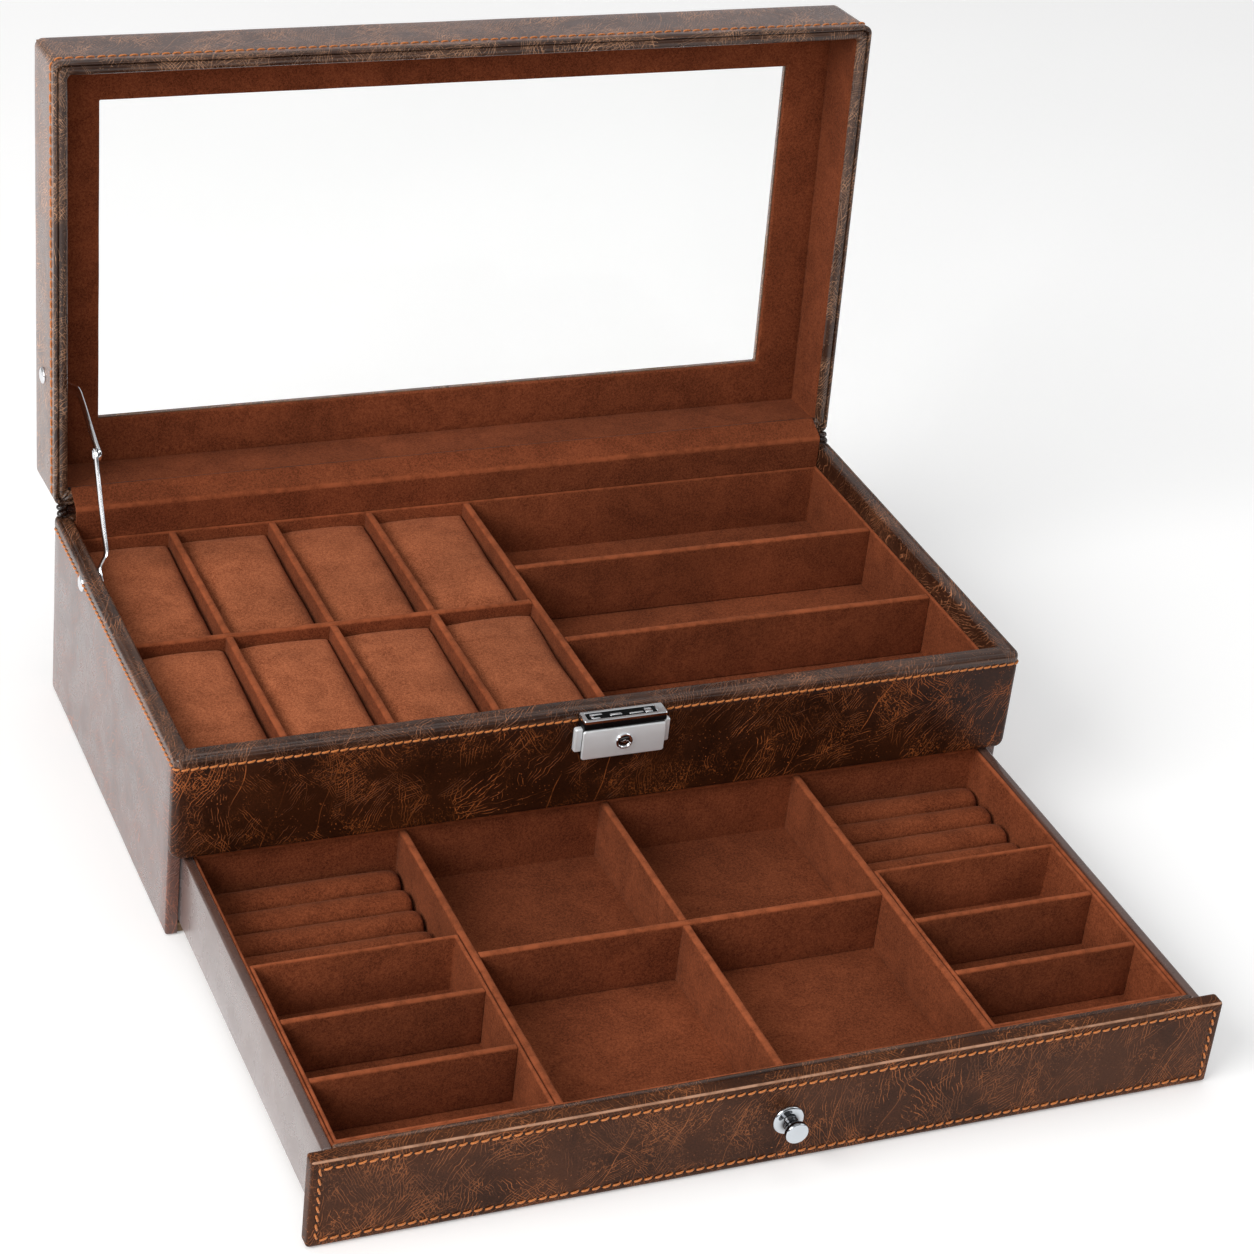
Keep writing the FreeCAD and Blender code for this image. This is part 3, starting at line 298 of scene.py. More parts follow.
def leather_material(name, dark, mid, vein, amount=1.0, rough=0.3, coat=0.0, spec=0.3, ior=1.5, sheen=0.0, cover=0.0, highlight_streaks=0.0, relief=1.0, scales=0.6, edge=None):
    """Dark leather abraded back to a lighter tone along its creases. cover raises the share that is creased;
    highlight_streaks and edge paint highlights into its colour.
    """
    t = Tree(name)
    bent = t.warp(16, 0.022, detail=0.0)
    bent = t.warp(70, 0.0042, vector=bent, detail=0.0)
    fine = t.warp(230, 0.0019, vector=bent, detail=1.0)
    c = cover
    lines = None
    for angle, ny, my, pitch, share, reach, group, low, loc in (
        (56, 0.55, -0.5, 0.00104, 0.115, 105, 64, 0.55, 3.3),
        (124, -0.5, 0.5, 0.00092, 0.115, 120, 78, 0.575, 17.1),
        (24, 0.6, -0.5, 0.00100, 0.11, 110, 72, 0.58, 41.7),
        (92, 0.35, 0.6, 0.00108, 0.11, 130, 84, 0.585, 67.9),
    ):
        b = bundle(t, fine, angle, ny, my, pitch, share, reach, group, low - c, low + 0.05 - c, loc)
        lines = b if lines is None else t.math("MAXIMUM", lines, b)
    # a few long single creases
    lone = bundle(t, bent, 70, 0.4, -0.4, 0.019, 0.012, 22, 20, 0.38, 0.5, 91.3)
    lines = t.math("MAXIMUM", lines, t.math("MULTIPLY", lone, 0.8))
    # small scaly crackle between them
    net_vec = t.mapping((1.0, 0.85, 0.7), (0, 30, 0), (0.4, 0.8, 0.1), t.warp(520, 0.0013, vector=bent))
    net = t.range(t.cells(720, "DISTANCE_TO_EDGE", net_vec), 0.02, 0.10, 1.0, 0.0)
    net_at = t.range(t.noise(48, 3.0, 0.65, 0.4, t.mapping(loc=(7.7, 1.2, 4.3))), 0.47 - c, 0.66 - c)
    broken = t.range(t.noise(900, 2.0, 0.6), 0.42, 0.56)
    net = t.math("MULTIPLY", t.math("MULTIPLY", net, net_at), broken)
    marks = t.math("MAXIMUM", t.math("MULTIPLY", lines, t.range(t.noise(420, 2.0, 0.6), 0.3, 0.52, 0.25, 1.0)), t.math("MULTIPLY", net, scales))
    dots = t.cells(640, "F1", t.warp(300, 0.002))
    keep = t.range(t.noise(150, 2.0, 0.6, 0.0, t.mapping(loc=(2, 2, 2))), 0.40, 0.52)
    dots = t.math("MULTIPLY", t.range(dots, 0.10, 0.20, 1.0, 0.0), keep)
    marks = t.math("MAXIMUM", marks, t.math("MULTIPLY", dots, 0.8))
    cloud = t.range(t.noise(24, 3.0, 0.6, 0.6), 0.3, 0.72)
    grain = t.range(t.noise(1300, 3.0, 0.7), 0.3, 0.7)
    cloud = t.math("ADD", t.math("MULTIPLY", cloud, 0.62), t.math("MULTIPLY", t.math("SUBTRACT", grain, 0.25), 0.5), clamp=True)
    base = t.mix(cloud, dark, mid)
    tone = t.range(t.noise(60, 2.0), 0.3, 0.7, 0.35, 1.0)
    fac = t.math("MULTIPLY", t.math("MULTIPLY", marks, tone), amount, clamp=True)
    skin = t.mix(fac, base, vein)
    if highlight_streaks:
        # painted highlight: pale streaks along the bars of a frame, standing in for the highlights on a glossy rim
        sep = t.node("ShaderNodeSeparateXYZ")
        t.put(sep.inputs[0], t.coord)
        on_side = t.math("GREATER_THAN", t.math("ABSOLUTE", sep.outputs[0]), 0.1631)
        a = t.noise(520, 2.0, 0.55, 0.2, t.mapping((0.035, 1, 1)))
        b = t.noise(520, 2.0, 0.55, 0.2, t.mapping((1, 0.035, 0.035), (0, 0, 0), (3, 1, 2)))
        s = t.math("ADD", t.math("MULTIPLY", a, t.math("SUBTRACT", 1.0, on_side)), t.math("MULTIPLY", b, on_side))
        s = t.math("MULTIPLY", t.range(s, 0.47, 0.66), t.range(t.noise(45, 2.0), 0.32, 0.62, 0.25, 1.0))
        skin = t.mix(t.math("MULTIPLY", s, highlight_streaks), skin, lin(176, 132, 106))
    if edge:
        # painted highlight: a pale line along the top front edge, standing in for the light its small bevel catches
        sep = t.node("ShaderNodeSeparateXYZ")
        t.put(sep.inputs[0], t.coord)
        edge_highlight_mask = t.range(sep.outputs[2], (edge[1] - 0.85) * MM, (edge[1] - 0.45) * MM)
        edge_highlight_mask = t.math("MULTIPLY", edge_highlight_mask, t.range(sep.outputs[1], (edge[0] + 0.95) * MM, (edge[0] + 0.6) * MM))
        edge_highlight_mask = t.math("MULTIPLY", edge_highlight_mask, t.range(t.noise(130, 3.0, 0.6), 0.3, 0.6, 0.35, 0.85))
        skin = t.mix(edge_highlight_mask, skin, lin(196, 150, 122))
    t.set(Base_Color=skin)
    height = t.math("ADD", t.math("MULTIPLY", marks, 0.9), t.math("MULTIPLY", t.noise(2400, 2.0, 0.6), 0.18))
    height = t.math("ADD", height, t.math("MULTIPLY", t.noise(150, 2.0), 0.45))
    t.set(Normal=t.bump(height, 0.00010 * relief, 0.9))
    t.set(Roughness=t.math("ADD", t.math("MULTIPLY", fac, 0.12), t.range(t.noise(60, 3.0), 0.3, 0.7, rough - 0.05, rough + 0.07)))
    t.bsdf.inputs["IOR"].default_value = ior
    t.bsdf.inputs["Specular IOR Level"].default_value = spec
    t.bsdf.inputs["Coat Weight"].default_value = coat
    t.bsdf.inputs["Coat Roughness"].default_value = 0.25
    t.bsdf.inputs["Sheen Weight"].default_value = sheen
    t.bsdf.inputs["Sheen Roughness"].default_value = 0.3
    t.bsdf.inputs["Sheen Tint"].default_value = (1.0, 0.9, 0.92, 1)
    return t.mat


def suede_material(name, dark, light, sheen=0.08, cloud_low=0.84, highlight_top_z=None, band=None):
    t = Tree(name)
    fibre = t.noise(2300, 3.0, 0.7, 0.5)
    clump = t.noise(1050, 3.0, 0.65, 0.5)
    brushed = t.noise(75, 2.5, 0.55, 0.8)
    wide = t.noise(17, 2.0, 0.5, 0.4)
    f = t.math("ADD", t.math("MULTIPLY", t.range(fibre, 0.36, 0.64), 0.46), t.math("MULTIPLY", t.range(clump, 0.36, 0.64), 0.34))
    f = t.math("ADD", f, t.math("MULTIPLY", t.range(brushed, 0.3, 0.7), 0.22), clamp=True)
    c = t.mix(f, dark, light)
    if highlight_top_z is not None or band is not None:
        # painted highlight: the nap is made lighter along the top edges, or over one bend, where it would catch the
        # light
        sep = t.node("ShaderNodeSeparateXYZ")
        t.put(sep.inputs[0], t.coord)
        if band:
            low, high = band[0] * 0.001, band[1] * 0.001
            up = t.math("MULTIPLY", t.range(sep.outputs[2], low - 0.0003, low + 0.0004), t.range(sep.outputs[2], high - 0.0005, high + 0.0004, 1.0, 0.0))
        else:
            up = t.range(sep.outputs[2], (highlight_top_z - 1.1) * 0.001, (highlight_top_z - 0.35) * 0.001)
        up = t.math("MULTIPLY", up, t.range(t.noise(230, 2.0), 0.3, 0.7, 0.25, 0.8))
        c = t.mix(up, c, [min(1.0, q * 1.25) for q in light[:3]] + [1.0])
    shade = t.range(wide, 0.32, 0.7, cloud_low, 1.10)
    s = t.node("ShaderNodeCombineColor")
    for i in range(3):
        t.put(s.inputs[i], shade)
    t.set(Base_Color=t.mix(1.0, c, s.outputs[0], "MULTIPLY"))
    h = t.math("ADD", t.math("MULTIPLY", fibre, 0.6), t.math("MULTIPLY", clump, 0.7))
    h = t.math("ADD", h, t.math("MULTIPLY", brushed, 0.5))
    t.set(Normal=t.bump(h, 0.0003, 0.7))
    t.set(Roughness=t.range(clump, 0.3, 0.7, 0.88, 0.98))
    t.bsdf.inputs["Specular IOR Level"].default_value = 0.05
    t.bsdf.inputs["Sheen Weight"].default_value = sheen
    t.bsdf.inputs["Sheen Roughness"].default_value = 0.5
    t.bsdf.inputs["Sheen Tint"].default_value = (1.0, 0.55, 0.36, 1)
    return t.mat


leather = leather_material("leather_crackled", lin(36, 16, 7), lin(66, 33, 16), lin(198, 110, 55), 1.0, 0.36, 0.0, 0.2, cover=0.012, scales=0.7)
# the drawer front's leather gets a painted highlight along its top front edge (edge=)
leather_front = leather_material("leather_drawer_front", lin(44, 22, 10), lin(82, 47, 28), lin(182, 110, 66), 0.95, 0.40, 0.0, 0.13, cover=0.05, edge=(-261.4, 36.2))
leather_wall = leather_material("leather_walls", lin(56, 27, 17), lin(92, 50, 36), lin(190, 104, 64), 0.7, 0.28, 0.44, 0.42, 1.6, 0.36, cover=0.03, relief=0.8)
leather_lid = leather_material("leather_lid", lin(62, 38, 28), lin(94, 64, 48), lin(214, 154, 112), 0.95, 0.32, 0.3, 0.42, 1.6, 0.4, cover=0.075)
# the padded rim, the drawer's inner front and the lid's bead carry painted highlight streaks
leather_pad = leather_material("leather_padded", lin(38, 20, 12), lin(70, 42, 28), lin(190, 124, 84), 0.85, 0.28, 0.2, 0.45, cover=0.03, highlight_streaks=0.13)
leather_bead = leather_material("leather_bead", lin(40, 22, 14), lin(66, 41, 29), lin(206, 154, 116), 0.95, 0.30, 0.15, 0.45, cover=0.06, highlight_streaks=0.1)
leather_fold = leather_material("leather_folded", lin(24, 12, 8), lin(48, 28, 20), lin(130, 80, 52), 0.5, 0.18, 0.6, 0.6)
leather_plain = leather_material("leather_smooth", lin(74, 50, 42), lin(96, 68, 58), lin(130, 86, 60), 0.10, 0.25, 0.6, 0.5, 1.74, 0.55, relief=0.25)
SUEDE = (lin(78, 34, 18), lin(146, 78, 48))
suede = suede_material("suede_tan", *SUEDE)
# copies of the suede with painted highlight: along the tops of the tray and drawer walls, and over the hinge strip's
# bend
suede_tray = suede_material("suede_tray_highlit_edges", *SUEDE, highlight_top_z=71.6)
suede_drawer = suede_material("suede_drawer_highlit_edges", *SUEDE, highlight_top_z=34.2)
suede_hinge_highlit_band = suede_material("suede_hinge_highlit_band", *SUEDE, band=(84.3, 86.1))
suede_pillow = suede_material("suede_pillow", lin(106, 50, 28), lin(184, 108, 72), 0.10)


def thread_material():
    t = Tree("thread_orange")
    w = t.node("ShaderNodeTexWave", wave_type="BANDS", bands_direction="DIAGONAL")
    t.put(w.inputs["Vector"], t.coord)
    w.inputs["Scale"].default_value = 900
    w.inputs["Distortion"].default_value = 1.5
    n = t.noise(1800, 3.0)
    f = t.math("ADD", t.math("MULTIPLY", w.outputs["Fac"], 0.45), t.math("MULTIPLY", n, 0.6), clamp=True)
    t.set(Base_Color=t.mix(f, lin(150, 78, 28), lin(226, 138, 66)))
    t.set(Normal=t.bump(f, 0.00012, 0.7))
    t.set(Roughness=t.range(n, 0.3, 0.7, 0.5, 0.68))
    t.bsdf.inputs["Sheen Weight"].default_value = 0.25
    t.bsdf.inputs["Sheen Roughness"].default_value = 0.4
    return t.mat


def metal_material(name, colour, rough, brushed=False):
    t = Tree(name)
    t.bsdf.inputs["Metallic"].default_value = 1.0
    smudge = t.noise(90, 3.0, 0.6, 0.5)
    t.set(Base_Color=t.mix(t.range(smudge, 0.3, 0.7, 0.0, 0.25), colour, (colour[0] * 0.8, colour[1] * 0.8, colour[2] * 0.82, 1)))
    if brushed:
        lines = t.noise(1500, 3.0, 0.6, 0.0, t.mapping((0.02, 1.0, 1.0)))
        t.set(Normal=t.bump(lines, 0.00004, 0.5))
        t.set(Roughness=t.range(lines, 0.25, 0.75, rough - 0.06, rough + 0.1))
        t.bsdf.inputs["Anisotropic"].default_value = 0.5
    else:
        t.set(Roughness=t.range(smudge, 0.3, 0.75, rough, rough + 0.06))
        t.set(Normal=t.bump(t.noise(240, 2.0), 0.00002, 0.4))
    return t.mat


chrome = metal_material("chrome", (0.90, 0.91, 0.93, 1), 0.08)


def turned_chrome():
    """Polished plating on the turned knob, with painted shade in the hollow of its neck and a painted dark reflection
    round the rim of its head.
    """
    t = Tree("chrome_knob")
    t.bsdf.inputs["Metallic"].default_value = 1.0
    sep = t.node("ShaderNodeSeparateXYZ")
    t.put(sep.inputs[0], t.coord)
    y = sep.outputs[1]
    at = lambda h: (-261.5 - h) * MM
    neck = t.math("MULTIPLY", t.range(y, at(2.3), at(1.3)), 1.0)
    neck = t.math("SUBTRACT", 1.0, neck)
    face = t.range(y, at(7.75), at(8.1), 0.0, 1.0)
    # painted shade and painted reflection: dark from the neck's hollow up round the side of the head
    dark = t.math("MULTIPLY", neck, t.math("SUBTRACT", 1.0, face))
    smudge = t.range(t.noise(90, 3.0, 0.6, 0.5), 0.3, 0.7, 0.0, 0.25)
    bright = t.mix(smudge, (0.60, 0.64, 0.68, 1), (0.46, 0.49, 0.52, 1))
    t.set(Base_Color=t.mix(dark, bright, (0.07, 0.07, 0.075, 1)))
    t.set(Roughness=t.range(t.noise(90, 3.0), 0.3, 0.75, 0.07, 0.13))
    t.bsdf.inputs["Coat Weight"].default_value = 0.45
    t.bsdf.inputs["Coat Roughness"].default_value = 0.05
    return t.mat


knob_chrome = turned_chrome()
steel = metal_material("plated_steel", (0.80, 0.81, 0.83, 1), 0.16)
satin = metal_material("satin_brushed", (0.95, 0.98, 1.0, 1), 0.36, True)
satin.node_tree.nodes["Principled BSDF"].inputs["Metallic"].default_value = 0.45
thread = thread_material()


def plain_material(name, a, b, rough, scale=300, bump=0.0001, coat=0.0, spec=0.5):
    t = Tree(name)
    n = t.noise(scale, 4.0, 0.6)
    t.set(Base_Color=t.mix(t.range(n, 0.3, 0.7), a, b))
    t.set(Normal=t.bump(n, bump, 0.6))
    t.set(Roughness=t.range(t.noise(scale * 0.4, 2.0), 0.3, 0.7, rough - 0.04, rough + 0.05))
    t.bsdf.inputs["Coat Weight"].default_value = coat
    t.bsdf.inputs["Coat Roughness"].default_value = 0.06
    t.bsdf.inputs["Specular IOR Level"].default_value = spec
    return t.mat


black = plain_material("gloss_black", lin(10, 10, 11), lin(20, 19, 20), 0.14, 120, 0.00002, 0.6)
hole_dark = plain_material("stitch_hole", lin(14, 7, 4), lin(24, 12, 7), 0.7, 900, 0.00005)
bezel_black = plain_material("bezel_black", lin(6, 6, 7), lin(12, 12, 13), 0.28, 120, 0.00002, 0.0, 0.22)
pit = plain_material("dark_recess", lin(5, 5, 5), lin(10, 9, 9), 0.75, 200, 0.00002, 0.0, 0.1)
board_mat = plain_material("fibreboard", lin(92, 70, 50), lin(132, 106, 80), 0.85, 700, 0.0002)
felt_mat = plain_material("felt_dark", lin(24, 22, 22), lin(44, 40, 39), 0.93, 1600, 0.0004, 0.0, 0.2)


def glass_material():
    t = Tree("clear_glass")
    t.bsdf.inputs["Transmission Weight"].default_value = 1.0
    t.bsdf.inputs["IOR"].default_value = 1.2
    t.set(Base_Color=t.mix(t.noise(30, 1.0), (0.99, 0.995, 0.99, 1), (1, 1, 1, 1)))
    t.bsdf.inputs["Roughness"].default_value = 0.0
    t.bsdf.inputs["Specular IOR Level"].default_value = 0.25
    return t.mat


glass = glass_material()


def floor_material():
    t = Tree("floor_pale")
    n = t.noise(4, 2.0)
    t.set(Base_Color=t.mix(n, (0.90, 0.90, 0.90, 1), (0.93, 0.93, 0.93, 1)))
    t.set(Roughness=t.range(n, 0.3, 0.7, 0.55, 0.65))
    t.bsdf.inputs["Specular IOR Level"].default_value = 0.25
    t.bsdf.inputs["Emission Color"].default_value = (1, 1, 1, 1)
    t.bsdf.inputs["Emission Strength"].default_value = 0.2
    return t.mat


# ------------------------------------------------------------------ mesh helpers (millimetres)


class Mesh:
    """Collects vertices and faces in millimetres, then makes one object."""

    def __init__(self):
        self.v = []
        self.f = []

    def add(self, verts, faces):
        k = len(self.v)
        self.v.extend([tuple(float(c) for c in p) for p in verts])
        self.f.extend([tuple(i + k for i in face) for face in faces])
        return self

    def move(self, fn):
        self.v = [tuple(fn(p)) for p in self.v]
        return self

    def wobble(self, amp, size, seed=0.0):
        out = []
        for p in self.v:
            q = Vector((p[0] / size + seed, p[1] / size + seed * 1.7, p[2] / size - seed * 0.6))
            d = noise.noise_vector(q)
            out.append((p[0] + amp * d.x, p[1] + amp * d.y, p[2] + amp * d.z))
        self.v = out
        return self

    def build(self, name, mat, body=None, reps=(), slot=None, sharp=38, normals=True):
        me = bpy.data.meshes.new(name)
        me.from_pydata([(x * MM, y * MM, z * MM) for x, y, z in self.v], [], self.f)
        me.validate()
        if normals:
            bm = bmesh.new()
            bm.from_mesh(me)
            bmesh.ops.remove_doubles(bm, verts=bm.verts, dist=0.8e-6)
            bmesh.ops.recalc_face_normals(bm, faces=bm.faces)
            bm.to_mesh(me)
            bm.free()
        me.shade_smooth()
        if sharp:
            me.set_sharp_from_angle(angle=math.radians(sharp))
        me.materials.append(mat)
        ob = bpy.data.objects.new(name, me)
        col.objects.link(ob)
        if body:
            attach(ob, body)
        if reps:
            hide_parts(*reps)
        return ob


def rect_loop(x0, x1, y0, y1, r, z, cn=5, mx=1, my=1):
    """Points of a rectangle with rounded corners, anticlockwise. r is one radius or four."""
    if not hasattr(r, "__len__"):
        r = (r, r, r, r)
    r = [max(0.01, min(q, (x1 - x0) / 2 - 0.005, (y1 - y0) / 2 - 0.005)) for q in r]
    pts = []
    a, b, c, d = r  # lower left, lower right, upper right, upper left

    def side(p, q, m):
        for i in range(m):
            t = i / m
            pts.append((p[0] + (q[0] - p[0]) * t, p[1] + (q[1] - p[1]) * t, z))

    def arc(cx, cy, rad, start):
        for i in range(cn):
            g = math.radians(start + 90 * i / cn)
            pts.append((cx + rad * math.cos(g), cy + rad * math.sin(g), z))

    side((x0 + a, y0), (x1 - b, y0), mx)
    arc(x1 - b, y0 + b, b, -90)
    side((x1, y0 + b), (x1, y1 - c), my)
    arc(x1 - c, y1 - c, c, 0)
    side((x1 - c, y1), (x0 + d, y1), mx)
    arc(x0 + d, y1 - d, d, 90)
    side((x0, y1 - d), (x0, y0 + a), my)
    arc(x0 + a, y0 + a, a, 180)
    return pts


def loft(loops, wrap=False, cap0=False, cap1=False, closed=True):
    n = len(loops[0])
    verts = [p for loop in loops for p in loop]
    faces = []
    rows = len(loops)
    for j in range(rows if wrap else rows - 1):
        a, b = j * n, ((j + 1) % rows) * n
        for i in range(n if closed else n - 1):
            k = (i + 1) % n
            faces.append((a + i, a + k, b + k, b + i))
    if cap0:
        faces.append(tuple(range(n))[::-1])
    if cap1:
        faces.append(tuple((rows - 1) * n + i for i in range(n)))
    return verts, faces


def swap(verts, order):
    """order says which of the made axes gives x, y and z, such as "xzy"."""
    k = ["xyz".index(c) for c in order]
    return [(p[k[0]], p[k[1]], p[k[2]]) for p in verts]


def rbox(x0, x1, y0, y1, z0, z1, r=1.0, rc=None, seg=3, mx=1, my=1, mz=1, cn=4, r0=None, cap=True):
    """A box with rounded upper and lower edges and rounded corners in plan."""
    rc = r if rc is None else rc
    r0 = r if r0 is None else r0
    loops = []

    def loop(inset, z):
        loops.append(rect_loop(x0 + inset, x1 - inset, y0 + inset, y1 - inset, max(rc - inset, 0.02), z, cn, mx, my))

    if r0 > 0:
        for k in range(seg):
            g = math.pi / 2 * k / seg
            loop(r0 * (1 - math.sin(g)), z0 + r0 * (1 - math.cos(g)))
    for k in range(mz + 1):
        loop(0, z0 + r0 + (z1 - r - z0 - r0) * k / mz)
    if r > 0:
        for k in range(1, seg + 1):
            g = math.pi / 2 * k / seg
            loop(r * (1 - math.cos(g)), z1 - r + r * math.sin(g))
    return loft(loops, cap0=cap, cap1=cap)


def rbox_axis(axis, a, **kw):
    """rbox with its rounding axis along x or y. a = x0, x1, y0, y1, z0, z1 in the real axes."""
    x0, x1, y0, y1, z0, z1 = a
    if axis == "y":
        v, f = rbox(x0, x1, z0, z1, y0, y1, **kw)
        return swap(v, "xzy"), f
    if axis == "x":
        v, f = rbox(y0, y1, z0, z1, x0, x1, **kw)
        return swap(v, "zxy"), f
    return rbox(*a, **kw)


def slab(x0, x1, y0, y1, z0, z1, step=6.0, amp=0.12, seed=0.0):
    """A thin sheet whose top undulates a little."""
    nx = max(2, int((x1 - x0) / step))
    ny = max(2, int((y1 - y0) / step))
    v, f = [], []
    for layer in (0, 1):
        for j in range(ny + 1):
            for i in range(nx + 1):
                x = x0 + (x1 - x0) * i / nx
                y = y0 + (y1 - y0) * j / ny
                z = z0 if layer == 0 else z1 + amp * noise.noise(Vector((x / 14 + seed, y / 14, seed)))
                v.append((x, y, z))
    k = (nx + 1) * (ny + 1)
    for j in range(ny):
        for i in range(nx):
            a = j * (nx + 1) + i
            f.append((k + a, k + a + 1, k + a + nx + 2, k + a + nx + 1))
            f.append((a + nx + 1, a + nx + 2, a + 1, a))
    for i in range(nx):
        f.append((i, i + 1, k + i + 1, k + i))
        o = ny * (nx + 1)
        f.append((o + i + 1, o + i, k + o + i, k + o + i + 1))
    for j in range(ny):
        a, b = j * (nx + 1), (j + 1) * (nx + 1)
        f.append((b, a, k + a, k + b))
        f.append((a + nx, b + nx, k + b + nx, k + a + nx))
    return v, f


def lathe(profile, n=40):
    """profile: (radius, height) from one end to the other, round the z axis."""
    loops = []
    for r, z in profile:
        loops.append([(r * math.cos(2 * math.pi * i / n), r * math.sin(2 * math.pi * i / n), z) for i in range(n)])
    return loft(loops, cap0=True, cap1=True)


def smooth_profile(pts, k=4):
    """Catmull-Rom through the points."""
    out = []
    p = [pts[0]] + list(pts) + [pts[-1]]
    for i in range(1, len(p) - 2):
        for s in range(k):
            t = s / k
            q = []
            for c in range(len(pts[0])):
                a, b, d, e = p[i - 1][c], p[i][c], p[i + 1][c], p[i + 2][c]
                q.append(0.5 * (2 * b + (d - a) * t + (2 * a - 5 * b + 4 * d - e) * t * t + (3 * b - a - 3 * d + e) * t ** 3))
            out.append(tuple(q))
    out.append(tuple(pts[-1]))
    return out


HY, HZ, OPEN = 92.0, 82.2, math.radians(94)
CO, SO = math.cos(-OPEN), math.sin(-OPEN)


def lid_up(p):
    """From the closed lid to the open lid."""
    x, y, z = p
    dy, dz = y - HY, z - HZ
    return (x, HY + dy * CO - dz * SO, HZ + dy * SO + dz * CO)


def ring(name, outer, inner, profile, mat, body, reps=(), slot=None, wrap=False, cn=8, mx=30, my=18, lid=False, wob=0.0, radii=(3.0, 1.2), sharp=38):
    """A frame round a rectangle. outer and inner are (x0, x1, y0, y1); profile points are (share of the way in, z)."""
    loops = []
    for s, z in profile:
        r = [o + (i - o) * s for o, i in zip(outer, inner)]
        loops.append(rect_loop(*r, max(0.05, radii[0] + (radii[1] - radii[0]) * s), z, cn, mx, my))
    m = Mesh().add(*loft(loops, wrap=wrap))
    if wob:
        m.wobble(wob, 16, 3.1)
    if lid:
        m.move(lid_up)
    return m.build(name, mat, body, reps, slot, sharp)


def path_stitches(m, holes, path, normals, pitch=3.45, length=3.38, rad=0.44, slant=0.62, closed=False, seed=1):
    """Thread stitches along a path that lies on a surface, with the needle holes between them."""
    rnd = np.random.RandomState(seed)
    pts = [Vector(p) for p in path]
    nrm = [Vector(n).normalized() for n in normals]
    if closed:
        pts.append(pts[0])
        nrm.append(nrm[0])
    at = [0.0]
    for a, b in zip(pts, pts[1:]):
        at.append(at[-1] + (b - a).length)
    total = at[-1]
    count = max(1, int(total / pitch))
    step = total / count

    def point(s):
        s = min(max(s, 0.0), total)
        k = min(max(int(np.searchsorted(at, s)) - 1, 0), len(pts) - 2)
        t = (s - at[k]) / max(1e-9, at[k + 1] - at[k])
        return pts[k].lerp(pts[k + 1], t), nrm[k].lerp(nrm[k + 1], t).normalized()

    sides, rows = 8, 9
    for c in range(count):
        mid = (c + 0.5) * step + rnd.uniform(-0.08, 0.08)
        lean = slant * (0.8 + 0.4 * rnd.rand())
        high = 0.30 + 0.06 * rnd.rand()
        loops = []
        for j in range(rows):
            u = j / (rows - 1)
            p, n = point(mid + (u - 0.5) * length)
            q, _ = point(mid + (u - 0.5) * length + 0.1)
            p0, _ = point(mid + (u - 0.5) * length - 0.1)
            t = (q - p0)
            if t.length < 1e-9:
                t = Vector((1, 0, 0))
            t.normalize()
            s = n.cross(t).normalized()
            e = abs(2 * u - 1)
            centre = p + n * (high * (1 - e ** 3) - 0.16 * e ** 3) + s * (lean * (u - 0.5) * 2 * 0.5)
            r = rad * math.sqrt(max(0.10, 1 - e ** 6))
            loop = []
            for i in range(sides):
                g = 2 * math.pi * i / sides
                rr = r * (1 + 0.13 * math.cos(3 * g + 9.0 * u))
                loop.append(tuple(centre + s * (rr * math.cos(g)) + n * (rr * 0.85 * math.sin(g))))
            loops.append(loop)
        m.add(*loft(loops, cap0=True, cap1=True))
        p, n = point(c * step)
        q, _ = point(c * step + 0.2)
        t = (q - p)
        if t.length < 1e-6:
            q, _ = point(c * step - 0.2)
            t = p - q
        t.normalize()
        s = n.cross(t).normalized()
        loops = []
        for rr, hh in ((0.42, -0.05), (0.40, 0.03), (0.22, 0.06)):
            loops.append([tuple(p + t * (rr * 0.8 * math.cos(2 * math.pi * i / 8)) + s * (rr * math.sin(2 * math.pi * i / 8)) + n * hh) for i in range(8)])
        holes.add(*loft(loops, cap0=True, cap1=True))


def loop_normals(path, up=(0, 0, 1)):
    """Outward normals of an anticlockwise path in plan."""
    out = []
    n = len(path)
    for i in range(n):
        a, b = Vector(path[i - 1]), Vector(path[(i + 1) % n])
        t = b - a
        out.append(Vector((t.y, -t.x, 0)).normalized())
    return out


# ------------------------------------------------------------------ floor

fl = Mesh().add([(-9000, -9000, 0), (9000, -9000, 0), (9000, 9000, 0), (-9000, 9000, 0)], [(0, 1, 2, 3)])
floor = fl.build("floor", floor_material(), normals=False)

# ------------------------------------------------------------------ case: leather walls

CASE = ("case",)
SEAM = 75.7  # height of the stitched groove round the case


